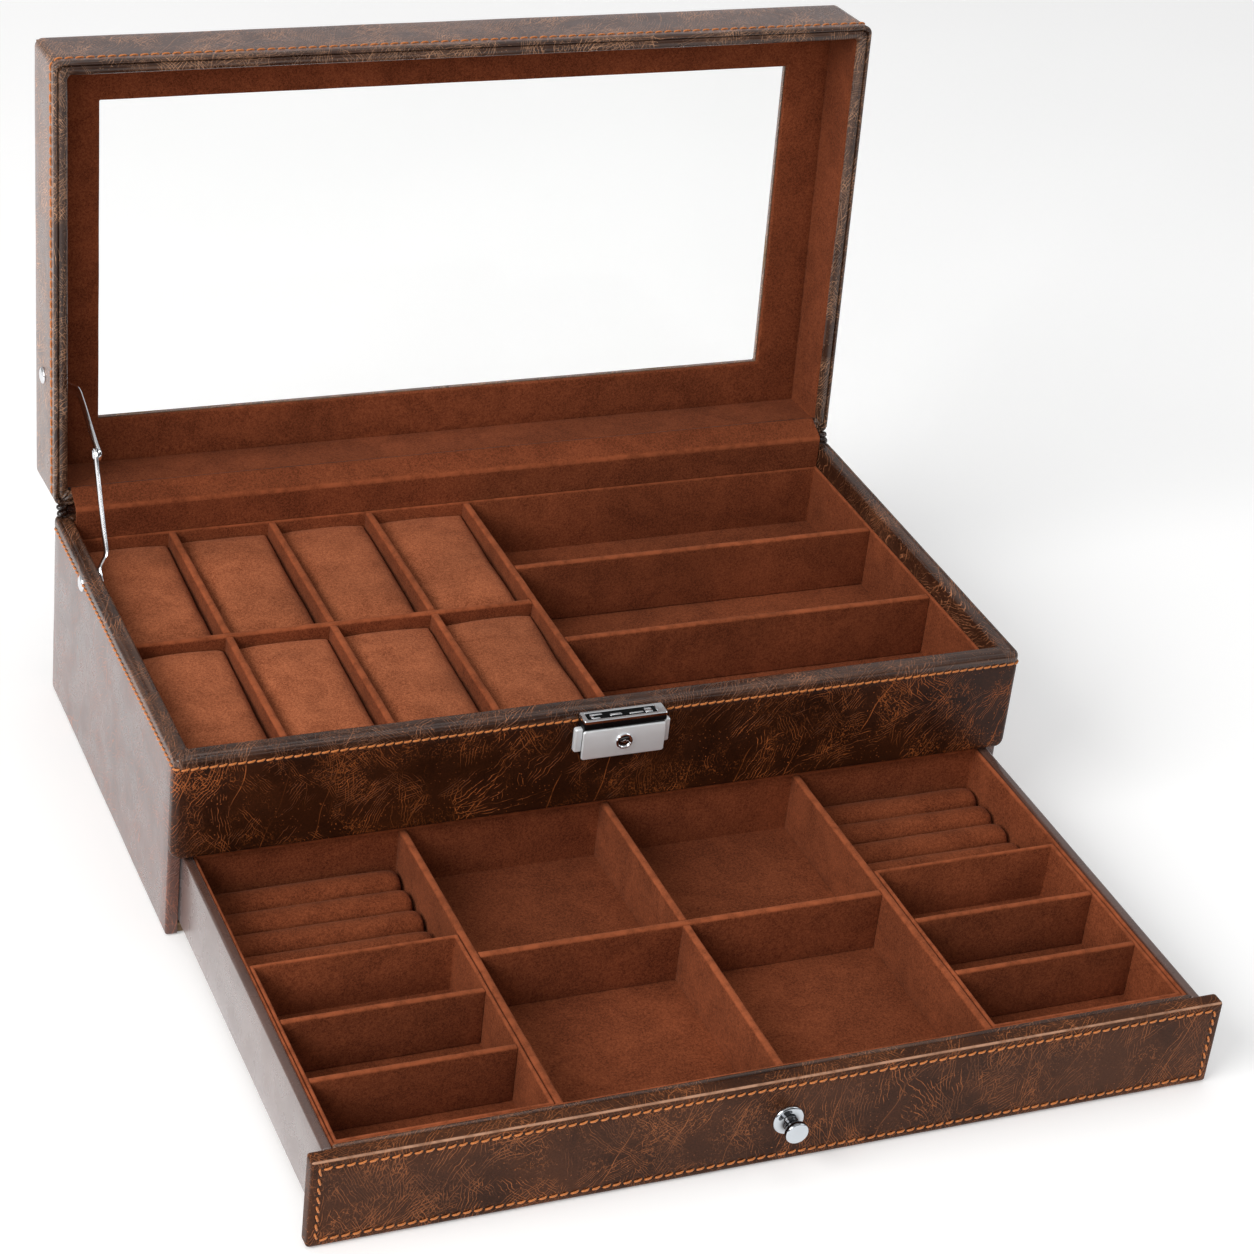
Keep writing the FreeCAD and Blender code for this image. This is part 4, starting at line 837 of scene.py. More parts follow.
def wall_loop(z, out=0.0):
    """The U of the side and back walls in plan, at height z, as one closed thin loop."""
    pts = [(-165.2, -86.0)]
    r = 1.2
    for i in range(5):
        g = math.radians(270 - 90 * i / 4)
        pts.append((-169.6 + r + r * math.cos(g), -86.0 + r + r * math.sin(g)))
    for i in range(1, 24):
        pts.append((-169.6, -84.8 + (88.8 - -84.8) * i / 24))
    r = 2.2
    for i in range(7):
        g = math.radians(180 - 90 * i / 6)
        pts.append((-169.6 + r + r * math.cos(g), 91.0 - r + r * math.sin(g)))
    for i in range(1, 30):
        pts.append((-167.4 + 334.8 * i / 30, 91.0))
    right_half = [(-x, y) for x, y in pts[:-29]][::-1]
    pts = pts + right_half
    n = len(pts)
    outer, inner = [], []
    for i, p in enumerate(pts):
        a = Vector(pts[max(i - 1, 0)]).to_2d()
        b = Vector(pts[min(i + 1, n - 1)]).to_2d()
        t = (b - a).normalized()
        nv = Vector((-t.y, t.x))
        w = 0.85
        outer.append((p[0] + nv.x * out, p[1] + nv.y * out, z))
        inner.append((p[0] - nv.x * w, p[1] - nv.y * w, z))
    return outer + inner[::-1]


loops = []
for z, o in ((0.4, -0.55), (0.65, -0.2), (1.2, 0.0), (2.5, 0.02), (12, 0.0), (24, 0.04), (38, 0.0), (52, 0.05), (66, 0.02), (73.6, 0.0), (74.8, -0.05), (75.5, -0.3), (76.2, -0.45), (77.9, -0.5)):
    loops.append(wall_loop(z, o))
m = Mesh().add(*loft(loops, cap0=True, cap1=True))
m.wobble(0.10, 30, 2.0)
m.build("case_leather", leather_wall, "case", ("case_cover",), "dark_brown_crackled_leather")

# fascia: the deep front band over the drawer
loops = []
FZ0, FZ1 = 37.0, 78.0
for z in (37.0, 37.12, 37.5, 38.1, 39.0, 40.2, 42, 46, 52, 58, 64, 70, 73.4, 74.8, 75.5, 76.2, 77.9):
    h = z - FZ0
    corner = 3.2 - math.sqrt(max(0.0, 3.2 ** 2 - max(0.0, 3.2 - h) ** 2)) if h < 3.2 else 0.0
    front = 1.1 - math.sqrt(max(0.0, 1.1 ** 2 - max(0.0, 1.1 - h) ** 2)) if h < 1.1 else 0.0
    sink = {74.8: 0.08, 75.5: 0.32, 76.2: 0.5, 77.9: 0.55}.get(z, 0.0)
    half = 170.0 - corner - sink
    loops.append(rect_loop(-half, half, -91.0 + front + sink, -86.02, (3.0, 3.0, 0.3, 0.3), z, 7, 60, 2))
m = Mesh().add(*loft(loops, cap0=True, cap1=True))
m.move(lambda p: (p[0], p[1] + (0.14 * noise.noise(Vector((p[0] / 30, p[2] / 22, 1.3))) if p[1] < -89 else 0), p[2]))
m.build("fascia_leather", leather, "case", ("fascia_cover",), "dark_brown_crackled_leather")

# padded rim round the top: a narrow welt, a crease and a flat band, turned down inside
prof = [
    (0.35, 75.15), (0.12, 75.75), (0.0, 76.4), (-0.03, 77.4), (-0.02, 78.3), (0.08, 79.0), (0.32, 79.55), (0.75, 79.86), (1.3, 79.94), (1.75, 79.86),
    (1.98, 79.74), (2.2, 79.86), (2.6, 79.96), (3.6, 80.0), (4.8, 80.0), (5.7, 79.93), (6.3, 79.66), (6.68, 79.1), (6.84, 78.3), (6.88, 77.0), (6.88, 74.0), (6.88, 71.0),
]
loops = []
for o, z in prof:
    sx = 170.0 - o
    y0 = -91.0 + o * (8.0 / 6.8)
    y1 = 91.0 - o * (4.5 / 6.8)
    loops.append(rect_loop(-sx, sx, y0, y1, max(1.4, 3.0 - o * 0.3), z, 10, 90, 50))
m = Mesh().add(*loft(loops))


def rim_soft(p):
    x, y, z = p
    if z < 78:
        return p
    k = min(1.0, (z - 78) / 1.5)
    d = 0.08 * noise.noise(Vector((x / 16, y / 16, 0.4))) + 0.04 * noise.noise(Vector((x / 3.2, y / 3.2, 2.4)))
    # small puckers where the leather is gathered at the corners
    cx, cy = abs(x) - 165.0, abs(y) - 86.5
    near = math.exp(-(cx * cx + cy * cy) / 30.0)
    g = math.atan2(cy + 6, cx + 6)
    d += near * 0.24 * (math.sin(g * 26) - 1)
    return (x, y, z + k * d)


m.move(rim_soft)
m.build("rim_leather", leather_pad, "case", ("rim_cover", "rim_lining"), "dark_brown_padded_leather")

# ------------------------------------------------------------------ stitches on the case, lid and drawer front

tm, hm = Mesh(), Mesh()
path = [p for p in rect_loop(-169.95, 169.95, -90.95, 90.95, 3.0, SEAM + 0.05, 8, 60, 40)]
nor = loop_normals(path)
# open path: from the back left corner round the front to the back right corner
order = [(p, n) for p, n in zip(path, nor)]
start = min(range(len(order)), key=lambda i: abs(order[i][0][0] + 169.95) + abs(order[i][0][1] - 87.0))
order = order[start:] + order[:start]
end = min(range(len(order)), key=lambda i: abs(order[i][0][0] - 169.95) + abs(order[i][0][1] - 87.0))
order = order[: end + 1]
path_stitches(tm, hm, [p for p, _ in order], [n for _, n in order], seed=3)
tm.build("case_stitches", thread, "case", (), None, 60)
hm.build("case_stitch_holes", hole_dark, "case", (), None, 60)

# ------------------------------------------------------------------ tray inside the case

mz = 3


def suede_ring(name, outer, inner, z0, z1, body, reps, slot, r=0.5, mat=None, lid=False, cn=4, wob=0.1, radii=(0.6, 0.4)):
    prof = [(0.0, z0), (0.0, (z0 + z1) / 2), (0.0, z1 - r), (0.15, z1 - r * 0.3), (0.35, z1), (0.65, z1), (0.85, z1 - r * 0.3), (1.0, z1 - r), (1.0, (z0 + z1) / 2), (1.0, z0)]
    loops = []
    for s, z in prof:
        q = [o + (i - o) * s for o, i in zip(outer, inner)]
        loops.append(rect_loop(*q, radii[0] + (radii[1] - radii[0]) * s, z, cn, 40, 22))
    m = Mesh().add(*loft(loops, wrap=True)).wobble(wob, 12, 5.5)
    if lid:
        m.move(lid_up)
    return m.build(name, mat or suede, body, reps, slot)


m = Mesh().add(*slab(-163.1, 163.1, -83, 84, 43.05, 44.95, 5, 0.16, 1.0))
m.build("tray_floor_suede", suede, "case", ("tray_floor",), "tan_suede_on_card")
suede_ring("tray_collar_suede", (-163.15, 163.15, -82.98, 83.95), (-161.9, 161.9, -81.7, 82.7), 45.0, 71.7, "case", ("tray_collar",), "tan_suede_on_card", mat=suede_tray)
m = Mesh().add(*rbox(-163.1, 163.1, 84.05, 86.4, 43.1, 78.9, 0.5, 0.5, mx=30, mz=4)).wobble(0.08, 14, 1.0)
m.build("back_lining_suede", suede, "case", ("back_lining",), "tan_suede_on_card")

RT = 71.6


def divider(x0, x1, y0, y1, z0, z1, r=1.1):
    lx, ly = x1 - x0, y1 - y0
    return rbox(x0, x1, y0, y1, z0, z1, r, 0.25, 4, max(1, int(lx / 5)), max(1, int(ly / 5)), 5, 3, 0.55)


m = Mesh().add(*divider(0.0, 3.0, -81.6, 82.6, 45.1, RT)).wobble(0.14, 11, 7.7)
m.build("main_divider_suede", suede_tray, "case", ("main_divider",), "tan_suede_on_board")
m = Mesh().add(*divider(-161.8, -0.02, 0.0, 3.0, 45.1, RT)).wobble(0.14, 11, 8.8)
m.build("row_divider_suede", suede_tray, "case", ("row_divider",), "tan_suede_on_board")
m = Mesh()
for c in (-123.6, -82.2, -40.9):
    m.add(*divider(c - 1.5, c + 1.5, -81.6, -0.02, 45.1, RT + 0.05))
    m.add(*divider(c - 1.5, c + 1.5, 3.02, 82.6, 45.1, RT + 0.05))
m.wobble(0.14, 11, 9.9)
m.build("column_dividers_suede", suede_tray, "case", ("column_dividers",), "tan_suede_on_board")
m = Mesh()
for c in (-28.5, 28.0):
    m.add(*divider(3.02, 161.8, c - 1.5, c + 1.5, 45.1, RT))
m.wobble(0.16, 14, 4.4)
m.build("glasses_dividers_suede", suede_tray, "case", ("glasses_dividers",), "tan_suede_on_board")

# ------------------------------------------------------------------ padded pieces


def evaluated_mesh(ob):
    dg = bpy.context.evaluated_depsgraph_get()
    return bpy.data.meshes.new_from_object(ob.evaluated_get(dg), preserve_all_data_layers=False, depsgraph=dg)


def inflate(ob, voxel, pressure, frames, cap):
    """Voxel remesh, then a short cloth run under pressure; no point moves further than cap metres."""
    mod = ob.modifiers.new("remesh", "REMESH")
    mod.mode = "VOXEL"
    mod.voxel_size = voxel
    me = evaluated_mesh(ob)
    ob.modifiers.clear()
    ob.data = me
    rest = np.array([v.co for v in me.vertices], float)
    cloth = ob.modifiers.new("cloth", "CLOTH")
    s = cloth.settings
    s.quality = 6
    s.mass = 0.12
    s.use_pressure = True
    s.uniform_pressure_force = pressure
    s.tension_stiffness = 12
    s.compression_stiffness = 8
    s.shear_stiffness = 5
    s.bending_stiffness = 0.4
    s.effector_weights.gravity = 0
    cloth.point_cache.frame_start = 1
    cloth.point_cache.frame_end = frames + 1
    for f in range(1, frames + 1):
        scene.frame_set(f)
    me2 = evaluated_mesh(ob)
    new = np.array([v.co for v in me2.vertices], float)
    ob.modifiers.clear()
    if len(new) == len(rest):
        d = new - rest
        length = np.linalg.norm(d, axis=1)
        keep = np.minimum(1.0, cap / np.maximum(length, 1e-9))
        new = rest + d * keep[:, None]
        me.vertices.foreach_set("co", new.ravel())
        me.update()
        print("cloth", ob.name, len(new), "points, mean move mm", round(float(length.mean() * 1000), 2), "max", round(float(length.max() * 1000), 2))
    bpy.data.meshes.remove(me2)
    scene.frame_set(1)


def subdivide(ob, levels=1):
    mod = ob.modifiers.new("sub", "SUBSURF")
    mod.levels = levels
    mod.render_levels = levels
    me = evaluated_mesh(ob)
    ob.modifiers.clear()
    ob.data = me
    me.shade_smooth()


def pillow_start(x0, x1, y0, y1, z0, z1):
    """A full pad with squared corners, rounded over at its top edges."""
    loops = []
    for k in range(9):
        t = k / 8
        z = z0 + (z1 - z0) * t
        pull = 0.0
        if t > 0.75:
            q = (t - 0.75) / 0.25
            pull = 3.4 * (1 - math.sqrt(max(0.0, 1 - q * q * 0.98)))
        if t < 0.2:
            pull = 1.6 * ((0.2 - t) / 0.2) ** 2
        loops.append(rect_loop(x0 + pull, x1 - pull, y0 + pull, y1 - pull, 2.4, z, 4, 6, 12))
    return loft(loops, cap0=True, cap1=True)


slots_x = [(-161.9, -125.1), (-122.1, -83.7), (-80.7, -42.4), (-39.4, 0.0)]
rows_y = [(-81.7, 0.0), (3.0, 82.7)]
PZ0, PZ1 = 45.2, 68.2
m = Mesh()
cells = []
for j, (ya, yb) in enumerate(rows_y):
    for i, (xa, xb) in enumerate(slots_x):
        cells.append((xa, xb, ya, yb))
        m.add(*pillow_start(xa + 1.3, xb - 1.3, ya + 1.3, yb - 1.3, PZ0 + 0.6, PZ1 - 1.2))
pillows = m.build("watch_pillows_soft", suede_pillow)
inflate(pillows, 0.0022, 4.0, 16, 0.0016)
subdivide(pillows)


def settle(co):
    """Each pillow fills its slot, lies flat below and is crowned above, with slight brushed hollows."""
    out = np.array(co) * 1000.0
    for xa, xb, ya, yb in cells:
        own = (out[:, 0] > xa - 1.4) & (out[:, 0] < xb + 1.4) & (out[:, 1] > ya - 1.4) & (out[:, 1] < yb + 1.4)
        p = out[own]
        lo, hi = p.min(0), p.max(0)
        cx, cy = (xa + xb) / 2, (ya + yb) / 2
        hx, hy = (xb - xa) / 2 - 0.18, (yb - ya) / 2 - 0.18
        u = (p[:, 0] - lo[0]) / (hi[0] - lo[0]) * 2 - 1
        v = (p[:, 1] - lo[1]) / (hi[1] - lo[1]) * 2 - 1
        # squarer shoulders: the foam block shows through the suede
        u = np.sign(u) * (1 - (1 - np.minimum(1, np.abs(u))) ** 2.3)
        v = np.sign(v) * (1 - (1 - np.minimum(1, np.abs(v))) ** 1.9)
        w = (p[:, 2] - lo[2]) / (hi[2] - lo[2])
        seed = cx * 0.37 + cy * 0.11
        z = 45.2 + w * 22.3
        up = np.clip((w - 0.45) / 0.55, 0, 1)
        crown = 1.5 * (1 - np.abs(u) ** 2.4) * (1 - 0.6 * np.abs(v) ** 3)
        lean = -2.0 * np.clip(-v, 0, 1) ** 4 - 1.5 * np.clip(u, 0, 1) ** 6 * np.clip(0.75 - v, 0, 1.4) - 0.5 * np.clip(-u, 0, 1) ** 4
        lump = np.array([
            0.5 * noise.noise(Vector((a / 14, b / 17, seed))) + 0.2 * noise.noise(Vector((a / 5, b / 6, seed + 3)))
            for a, b in p[:, :2]
        ])
        z = z + up * (crown + lean + lump)
        # the right side falls away a little more toward the front
        fall = np.clip(u, 0, 1) ** 6 * np.clip(0.7 - v, 0, 1.7) * up
        out[own, 0] = cx + u * hx - 0.35 * fall
        out[own, 1] = cy + v * hy
        out[own, 2] = np.clip(z, 45.2, 69.4)
    return out / 1000.0


co = np.array([v.co for v in pillows.data.vertices], float)
pillows.data.vertices.foreach_set("co", settle(co).ravel())
pillows.data.update()
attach(pillows, "case")
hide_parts("watch_pillows")


def roll_start(x0, x1, yc, half, z0, z1):
    """One roll, full to its ends, with a round top and a flatter foot."""
    loops = []
    xs = [x0, x0 + 0.25, x0 + 0.9, x0 + 2.0]
    ss = [0.62, 0.84, 0.95, 1.0]
    n = 12
    xs += [x0 + 2.0 + (x1 - x0 - 4.0) * k / n for k in range(1, n)] + [x1 - 2.0, x1 - 0.9, x1 - 0.25, x1]
    ss += [1.0] * (n - 1) + [1.0, 0.95, 0.84, 0.62]
    for x, s in zip(xs, ss):
        loop = []
        for i in range(20):
            a = 2 * math.pi * i / 20
            cy, cz = math.cos(a), math.sin(a)
            e = 0.95 if cz > 0 else 0.6
            loop.append((x, yc + half * s * math.copysign(abs(cy) ** e, cy), (z0 + z1) / 2 + (z1 - z0) / 2 * s * math.copysign(abs(cz) ** e, cz)))
        loops.append(loop)
    return loft(loops, cap0=True, cap1=True)


ROLLS, APART = 5, 6.0
for side in ("left", "right"):
    lo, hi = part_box("ring_cushion_" + side)
    x0, x1, y0, y1, z0, z1 = [q * 1000 for q in (lo.x, hi.x, lo.y, hi.y, lo.z, hi.z)]
    pitch = (y1 - y0) / ROLLS
    m = Mesh()
    for k in range(ROLLS):
        yc = y0 + (k + 0.5) * pitch + k * APART
        m.add(*roll_start(x0 + 0.2, x1 - 0.2, yc, pitch / 2 - 0.7, z0 + 0.3, z1 - 0.4))
    rolls = m.build("ring_rolls_" + side, suede)
    inflate(rolls, 0.0021, 4.0, 14, 0.0012)
    subdivide(rolls)
    co = np.array([v.co for v in rolls.data.vertices], float) * 1000.0
    for n, (x, y, z) in enumerate(co):
        k = min(ROLLS - 1, max(0, int((y - y0 + APART / 2) / (pitch + APART))))
        y -= k * APART
        yc = y0 + (k + 0.5) * pitch
        half = pitch / 2 - 0.14
        z += 0.25 * noise.noise(Vector((x / 18, k * 2.3, 1.5))) if z > z0 + 5 else 0.0
        u = max(-1.0, min(1.0, (x - (x0 + x1) / 2) / ((x1 - x0) / 2)))
        z -= 1.0 * abs(u) ** 16 if z > z0 + 3 else 0.0
        d = max(-1.0, min(1.0, (y - yc) / (pitch / 2 - 0.35)))
        y = yc + half * d + 0.10 * noise.noise(Vector((x / 22, k * 3.1, 0.5)))
        co[n] = (max(x0 - 0.1, min(x1 + 0.1, x)), y, max(z0, min(z1 + 0.4, z)))
    rolls.data.vertices.foreach_set("co", (co / 1000.0).ravel())
    rolls.data.update()
    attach(rolls, "drawer")
    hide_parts("ring_cushion_" + side)

# ------------------------------------------------------------------ lid

# outer leather: up the walls, over the top and down to the pane
prof = [
    (0.9, 81.6), (0.35, 81.15), (0.0, 81.3), (-0.02, 82.2), (0.0, 84.4), (0.06, 85.0), (0.25, 85.35), (0.06, 85.7), (0.0, 86.3), (0.02, 92.0), (0.03, 99.0), (0.0, 106.0),
    (0.0, 110.8), (0.12, 111.8), (0.5, 112.65), (1.15, 113.15), (2.0, 113.3), (4.5, 113.32), (6.0, 113.3), (12, 113.34), (17.5, 113.36), (19.3, 113.3), (19.8, 113.08), (20.3, 113.3),
    (21.8, 113.34), (22.8, 113.2), (23.4, 112.8), (23.62, 112.2), (23.65, 110.35), (22.6, 110.33), (4.4, 112.3), (3.0, 111.5), (1.0, 108), (1.0, 84),
]
loops = []
for o, z in prof:
    r = max(0.8, 3.2 - max(0, o) * 0.1)
    loops.append(rect_loop(-169.6 + o, 169.6 - o, -90.6 + o, 90.6 - o, r, z, 8, 60, 34))
m = Mesh().add(*loft(loops, wrap=True))
m.wobble(0.09, 26, 6.0).move(lid_up)
m.build("lid_leather", leather_lid, "lid", ("lid_cover",), "dark_brown_crackled_leather")

# lid rim: narrow band, groove and rounded bead, gathered at the corners
prof = [
    (0.12, 83.6), (0.02, 82.4), (0.0, 81.5), (0.12, 80.85), (0.5, 80.42), (1.0, 80.32), (1.35, 80.45), (1.55, 80.9), (1.7, 81.3),
    (1.85, 80.95), (2.15, 80.6), (2.7, 80.36), (3.4, 80.3), (4.2, 80.38), (4.85, 80.68), (5.3, 81.2), (5.5, 82.0), (5.5, 83.0),
]
loops = []
for o, z in prof:
    loops.append(rect_loop(-169.65 + o, 169.65 - o, -90.65 + o, 90.65 - o, max(1.5, 3.2 - o * 0.28), z, 14, 110, 60))
m = Mesh().add(*loft(loops))


def bead_soft(p):
    x, y, z = p
    if z > 82.3:
        return p
    ax, ay = abs(x), abs(y)
    o = min(169.6 - ax, 90.6 - ay)
    k = max(0.0, min(1.0, (82.3 - z) / 1.2))
    d = 0.08 * noise.noise(Vector((x / 12, y / 12, 7.4))) + 0.04 * noise.noise(Vector((x / 3, y / 3, 5.4)))
    cx, cy = 166.5 - ax, 87.5 - ay
    dist = math.hypot(cx, cy)
    near = math.exp(-(dist / 9.0) ** 2)
    g = math.atan2(90.6 - ay + 2, 169.6 - ax + 2)
    d += near * 0.30 * (math.sin(g * 34) - 1) * (1 if o > 1.7 else 0.35)
    return (x, y, z - k * d)


m.move(bead_soft).move(lid_up)
m.build("lid_rim_bead", leather_bead, "lid", ("lid_rim",), "dark_brown_padded_leather")

# suede inside the lid
prof = [(0.0, 82.0), (0.0, 95.0), (0.0, 107.9), (1.0, 107.9), (1.0, 104.0), (1.0, 98.0), (1.0, 92.0), (1.0, 87.0), (1.0, 83.4), (0.9, 82.5), (0.55, 81.9), (0.2, 81.8)]
loops = [rect_loop(-165.1 + s, 165.1 - s, -86.1 + s, 86.1 - s, 0.9 - 0.5 * s, z, 4, 50, 30) for s, z in prof]
m = Mesh().add(*loft(loops, wrap=True)).wobble(0.10, 17, 2.2).move(lid_up)
m.build("lid_lining_suede", suede, "lid", ("lid_lining",), "tan_suede_on_card")
prof = [
    (0.0, 108.2), (0.0, 106.5), (0.6, 106.32), (4, 106.3), (9, 106.3), (14, 106.3), (17.3, 106.3), (18.1, 106.45), (18.45, 106.9), (18.5, 107.6), (18.5, 108.2),
]
loops = [rect_loop(-164.05 + s, 164.05 - s, -85.05 + s, 85.05 - s, 0.5, z, 4, 50, 30) for s, z in prof]
m = Mesh().add(*loft(loops, wrap=True)).wobble(0.12, 16, 1.2).move(lid_up)
m.build("lid_velvet_frame_suede", suede, "lid", ("lid_velvet_frame",), "tan_suede_on_board")

# stitches round the lid's wall and on its top round the window
tm, hm = Mesh(), Mesh()
path = rect_loop(-169.55, 169.55, -90.55, 90.55, 3.2, 85.35, 8, 60, 40)
nor = loop_normals(path)
order = list(zip(path, nor))
start = min(range(len(order)), key=lambda i: abs(order[i][0][0] + 169.55) + abs(order[i][0][1] - 86.0))
order = order[start:] + order[:start]
end = min(range(len(order)), key=lambda i: abs(order[i][0][0] - 169.55) + abs(order[i][0][1] - 86.0))
order = order[: end + 1]
path_stitches(tm, hm, [p for p, _ in order], [n for _, n in order], pitch=4.1, length=3.7, seed=5)
path = rect_loop(-149.8, 149.8, -70.8, 70.8, 1.2, 113.2, 4, 40, 20)
path_stitches(tm, hm, path, [(0, 0, 1)] * len(path), closed=True, seed=6)
tm.move(lid_up).build("lid_stitches", thread, "lid", (), None, 60)
hm.move(lid_up).build("lid_stitch_holes", hole_dark, "lid", (), None, 60)

# ------------------------------------------------------------------ soft hinge between lid and case


def ribbon(path, thick, x0, x1, nx=60, ripple=0.12, seed=0.0):
    """A strip of material: path is (y, z) along its middle, and it runs from x0 to x1."""
    pts = smooth_profile(path, 5)
    n = len(pts)
    nor = []
    for i in range(n):
        a, b = pts[max(0, i - 1)], pts[min(n - 1, i + 1)]
        t = Vector((b[0] - a[0], b[1] - a[1])).normalized()
        nor.append((-t.y, t.x))
    sec = [(p[0] + q[0] * thick / 2, p[1] + q[1] * thick / 2) for p, q in zip(pts, nor)]
    sec += [(p[0] - q[0] * thick / 2, p[1] - q[1] * thick / 2) for p, q in zip(pts, nor)][::-1]
    loops = []
    for i in range(nx + 1):
        x = x0 + (x1 - x0) * i / nx
        loop = []
        for y, z in sec:
            d = ripple * noise.noise(Vector((x / 15, y / 9 + seed, z / 9)))
            loop.append((x, y + d, z + d))
        loops.append(loop)
    return loft(loops, cap0=True, cap1=True)


strip = [(83.35, 72.0), (83.35, 76.0), (83.37, 80.0), (83.42, 83.2), (83.6, 84.7), (84.2, 85.7), (85.3, 86.35), (87.4, 87.3), (89.6, 88.3), (91.1, 89.05), (92.2, 89.6), (93.3, 89.72)]
m = Mesh().add(*ribbon(strip, 0.9, -162.7, 162.7, 80, 0.05, 2.0))
hinge_suede = m.build("hinge_suede_strip", suede_hinge_highlit_band, None, ("hinge_strip_case", "hinge_strip_lid"), "tan_suede")
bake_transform(hinge_suede)
# a thin dark cord where the strip meets the lid's lining: painted shadow standing in for the shade in that crease
m = Mesh().add(*ribbon([(92.6, 89.5), (93.3, 89.62), (94.0, 89.5)], 0.75, -163.6, 163.6, 80, 0.04, 5.0))
m.build("hinge_painted_shadow_cord", hole_dark, "lid", (), "dark_brown_leather")
strip = [(91.55, 61.4), (91.5, 66), (91.5, 72), (91.5, 77.5), (91.75, 80.2), (92.7, 81.7), (94.4, 82.4), (96.6, 82.55), (104, 82.1), (112, 81.5)]
m = Mesh().add(*ribbon(strip, 0.8, -164.8, 164.8, 80, 0.08, 9.0))
hinge_leather = m.build("hinge_leather_strip", leather_wall, None, ("hinge_spine",), "dark_brown_leather")
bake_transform(hinge_leather)
# folded ends of the hinge leather, gathered between the corners of case and lid
for side, s in (("left", -1), ("right", 1)):
    m = Mesh()
    for cy, cz, r, lean in ((88.7, 81.35, 1.35, 0.5), (89.6, 83.5, 1.15, -0.4)):
        xa, xb = s * 169.2, s * 164.6
        loops = []
        for i in range(13):
            u = i / 12
            x = xa + (xb - xa) * u
            end = math.sqrt(max(0.05, 1 - abs(2 * u - 1) ** 3.5))
            loop = []
            for k in range(18):
                g = 2 * math.pi * k / 18
                rr = r * end * (1 + 0.10 * math.sin(2 * g + 5 * u) + 0.05 * math.sin(5 * g + 2))
                loop.append((x, cy + lean * (u - 0.5) + 1.25 * rr * math.cos(g), cz + 0.3 * lean * (u - 0.5) + rr * math.sin(g)))
            loops.append(loop)
        m.add(*loft(loops, cap0=True, cap1=True))
    ends = m.build("hinge_fold_" + side, leather_fold, None, (), "dark_brown_leather")
    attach(ends, "case")
    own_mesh(ends)

# ------------------------------------------------------------------ stay


def bar(path, width, thick, xs):
    """A flat bar: path is (y, z) down its middle with its x and half width at each point."""
    pts = [(p[0], p[1], x, w, t) for p, x, w, t in zip(path, xs, width, thick)]
    pts = smooth_profile(pts, 4)
    loops = []
    n = len(pts)
    for i, (y, z, x, w, t) in enumerate(pts):
        a, b = pts[max(0, i - 1)], pts[min(n - 1, i + 1)]
        d = Vector((b[0] - a[0], b[1] - a[1])).normalized()
        s = (-d.y, d.x)
        loop = []
        for k in range(12):
            g = 2 * math.pi * k / 12
            c, q = math.cos(g), math.sin(g)
            u = w * math.copysign(abs(c) ** 0.5, c)
            v = t / 2 * math.copysign(abs(q) ** 0.6, q)
            loop.append((x + v, y + s[0] * u, z + s[1] * u))
        loops.append(loop)
    return loft(loops, cap0=True, cap1=True)


def along_line(a, b, shares):
    return [(a[0] + (b[0] - a[0]) * s, a[1] + (b[1] - a[1]) * s) for s in shares]


low, mid, top_p = (45.0, 74.6), (70.5, 116.44), (112.05, 130.9)
sh = [-0.05, -0.02, 0.02, 0.06, 0.1, 0.16, 0.22, 0.4, 0.6, 0.78, 0.86, 0.92, 0.96, 1.0, 1.03, 1.05]
xs = [-162.45] * 5 + [-160.6, -159.05] + [-159.05] * 9
ws = [0.9, 2.5, 3.1, 3.0, 2.7, 2.6, 2.6, 2.6, 2.6, 2.6, 2.6, 2.8, 3.1, 3.2, 2.6, 0.9]
m = Mesh().add(*bar(along_line(low, mid, sh), ws, [1.25] * len(sh), xs))
m.build("stay_arm_lower_bar", chrome, "stay_lower", ("stay_arm_lower",), "bright_plated_steel")
sh = [-0.055, -0.03, 0.0, 0.04, 0.09, 0.14, 0.22, 0.4, 0.6, 0.76, 0.82, 0.9, 0.95, 0.99, 1.03, 1.05]
xs = [-157.75] * 9 + [-158.2, -160.6] + [-163.3] * 5
m = Mesh().add(*bar(along_line(mid, top_p, sh), ws, [1.25] * len(sh), xs))
m.build("stay_arm_upper_bar", chrome, "stay_upper", ("stay_arm_upper",), "bright_plated_steel")


def dome(x_out, x_base, y, z, r, sign, mid_r=None):
    """A rivet head: sign -1 bulges toward -x."""
    h = abs(x_out - x_base)
    prof = [(r, 0.0), (r, h * 0.18)]
    for k in range(1, 8):
        g = math.pi / 2 * k / 8
        prof.append((r * math.cos(g) ** 0.9, h * (0.18 + 0.82 * math.sin(g))))
    prof.append((0.05, h))
    v, f = lathe(prof, 28)
    return [(x_base + sign * p[2], y + p[0], z + p[1]) for p in v], f


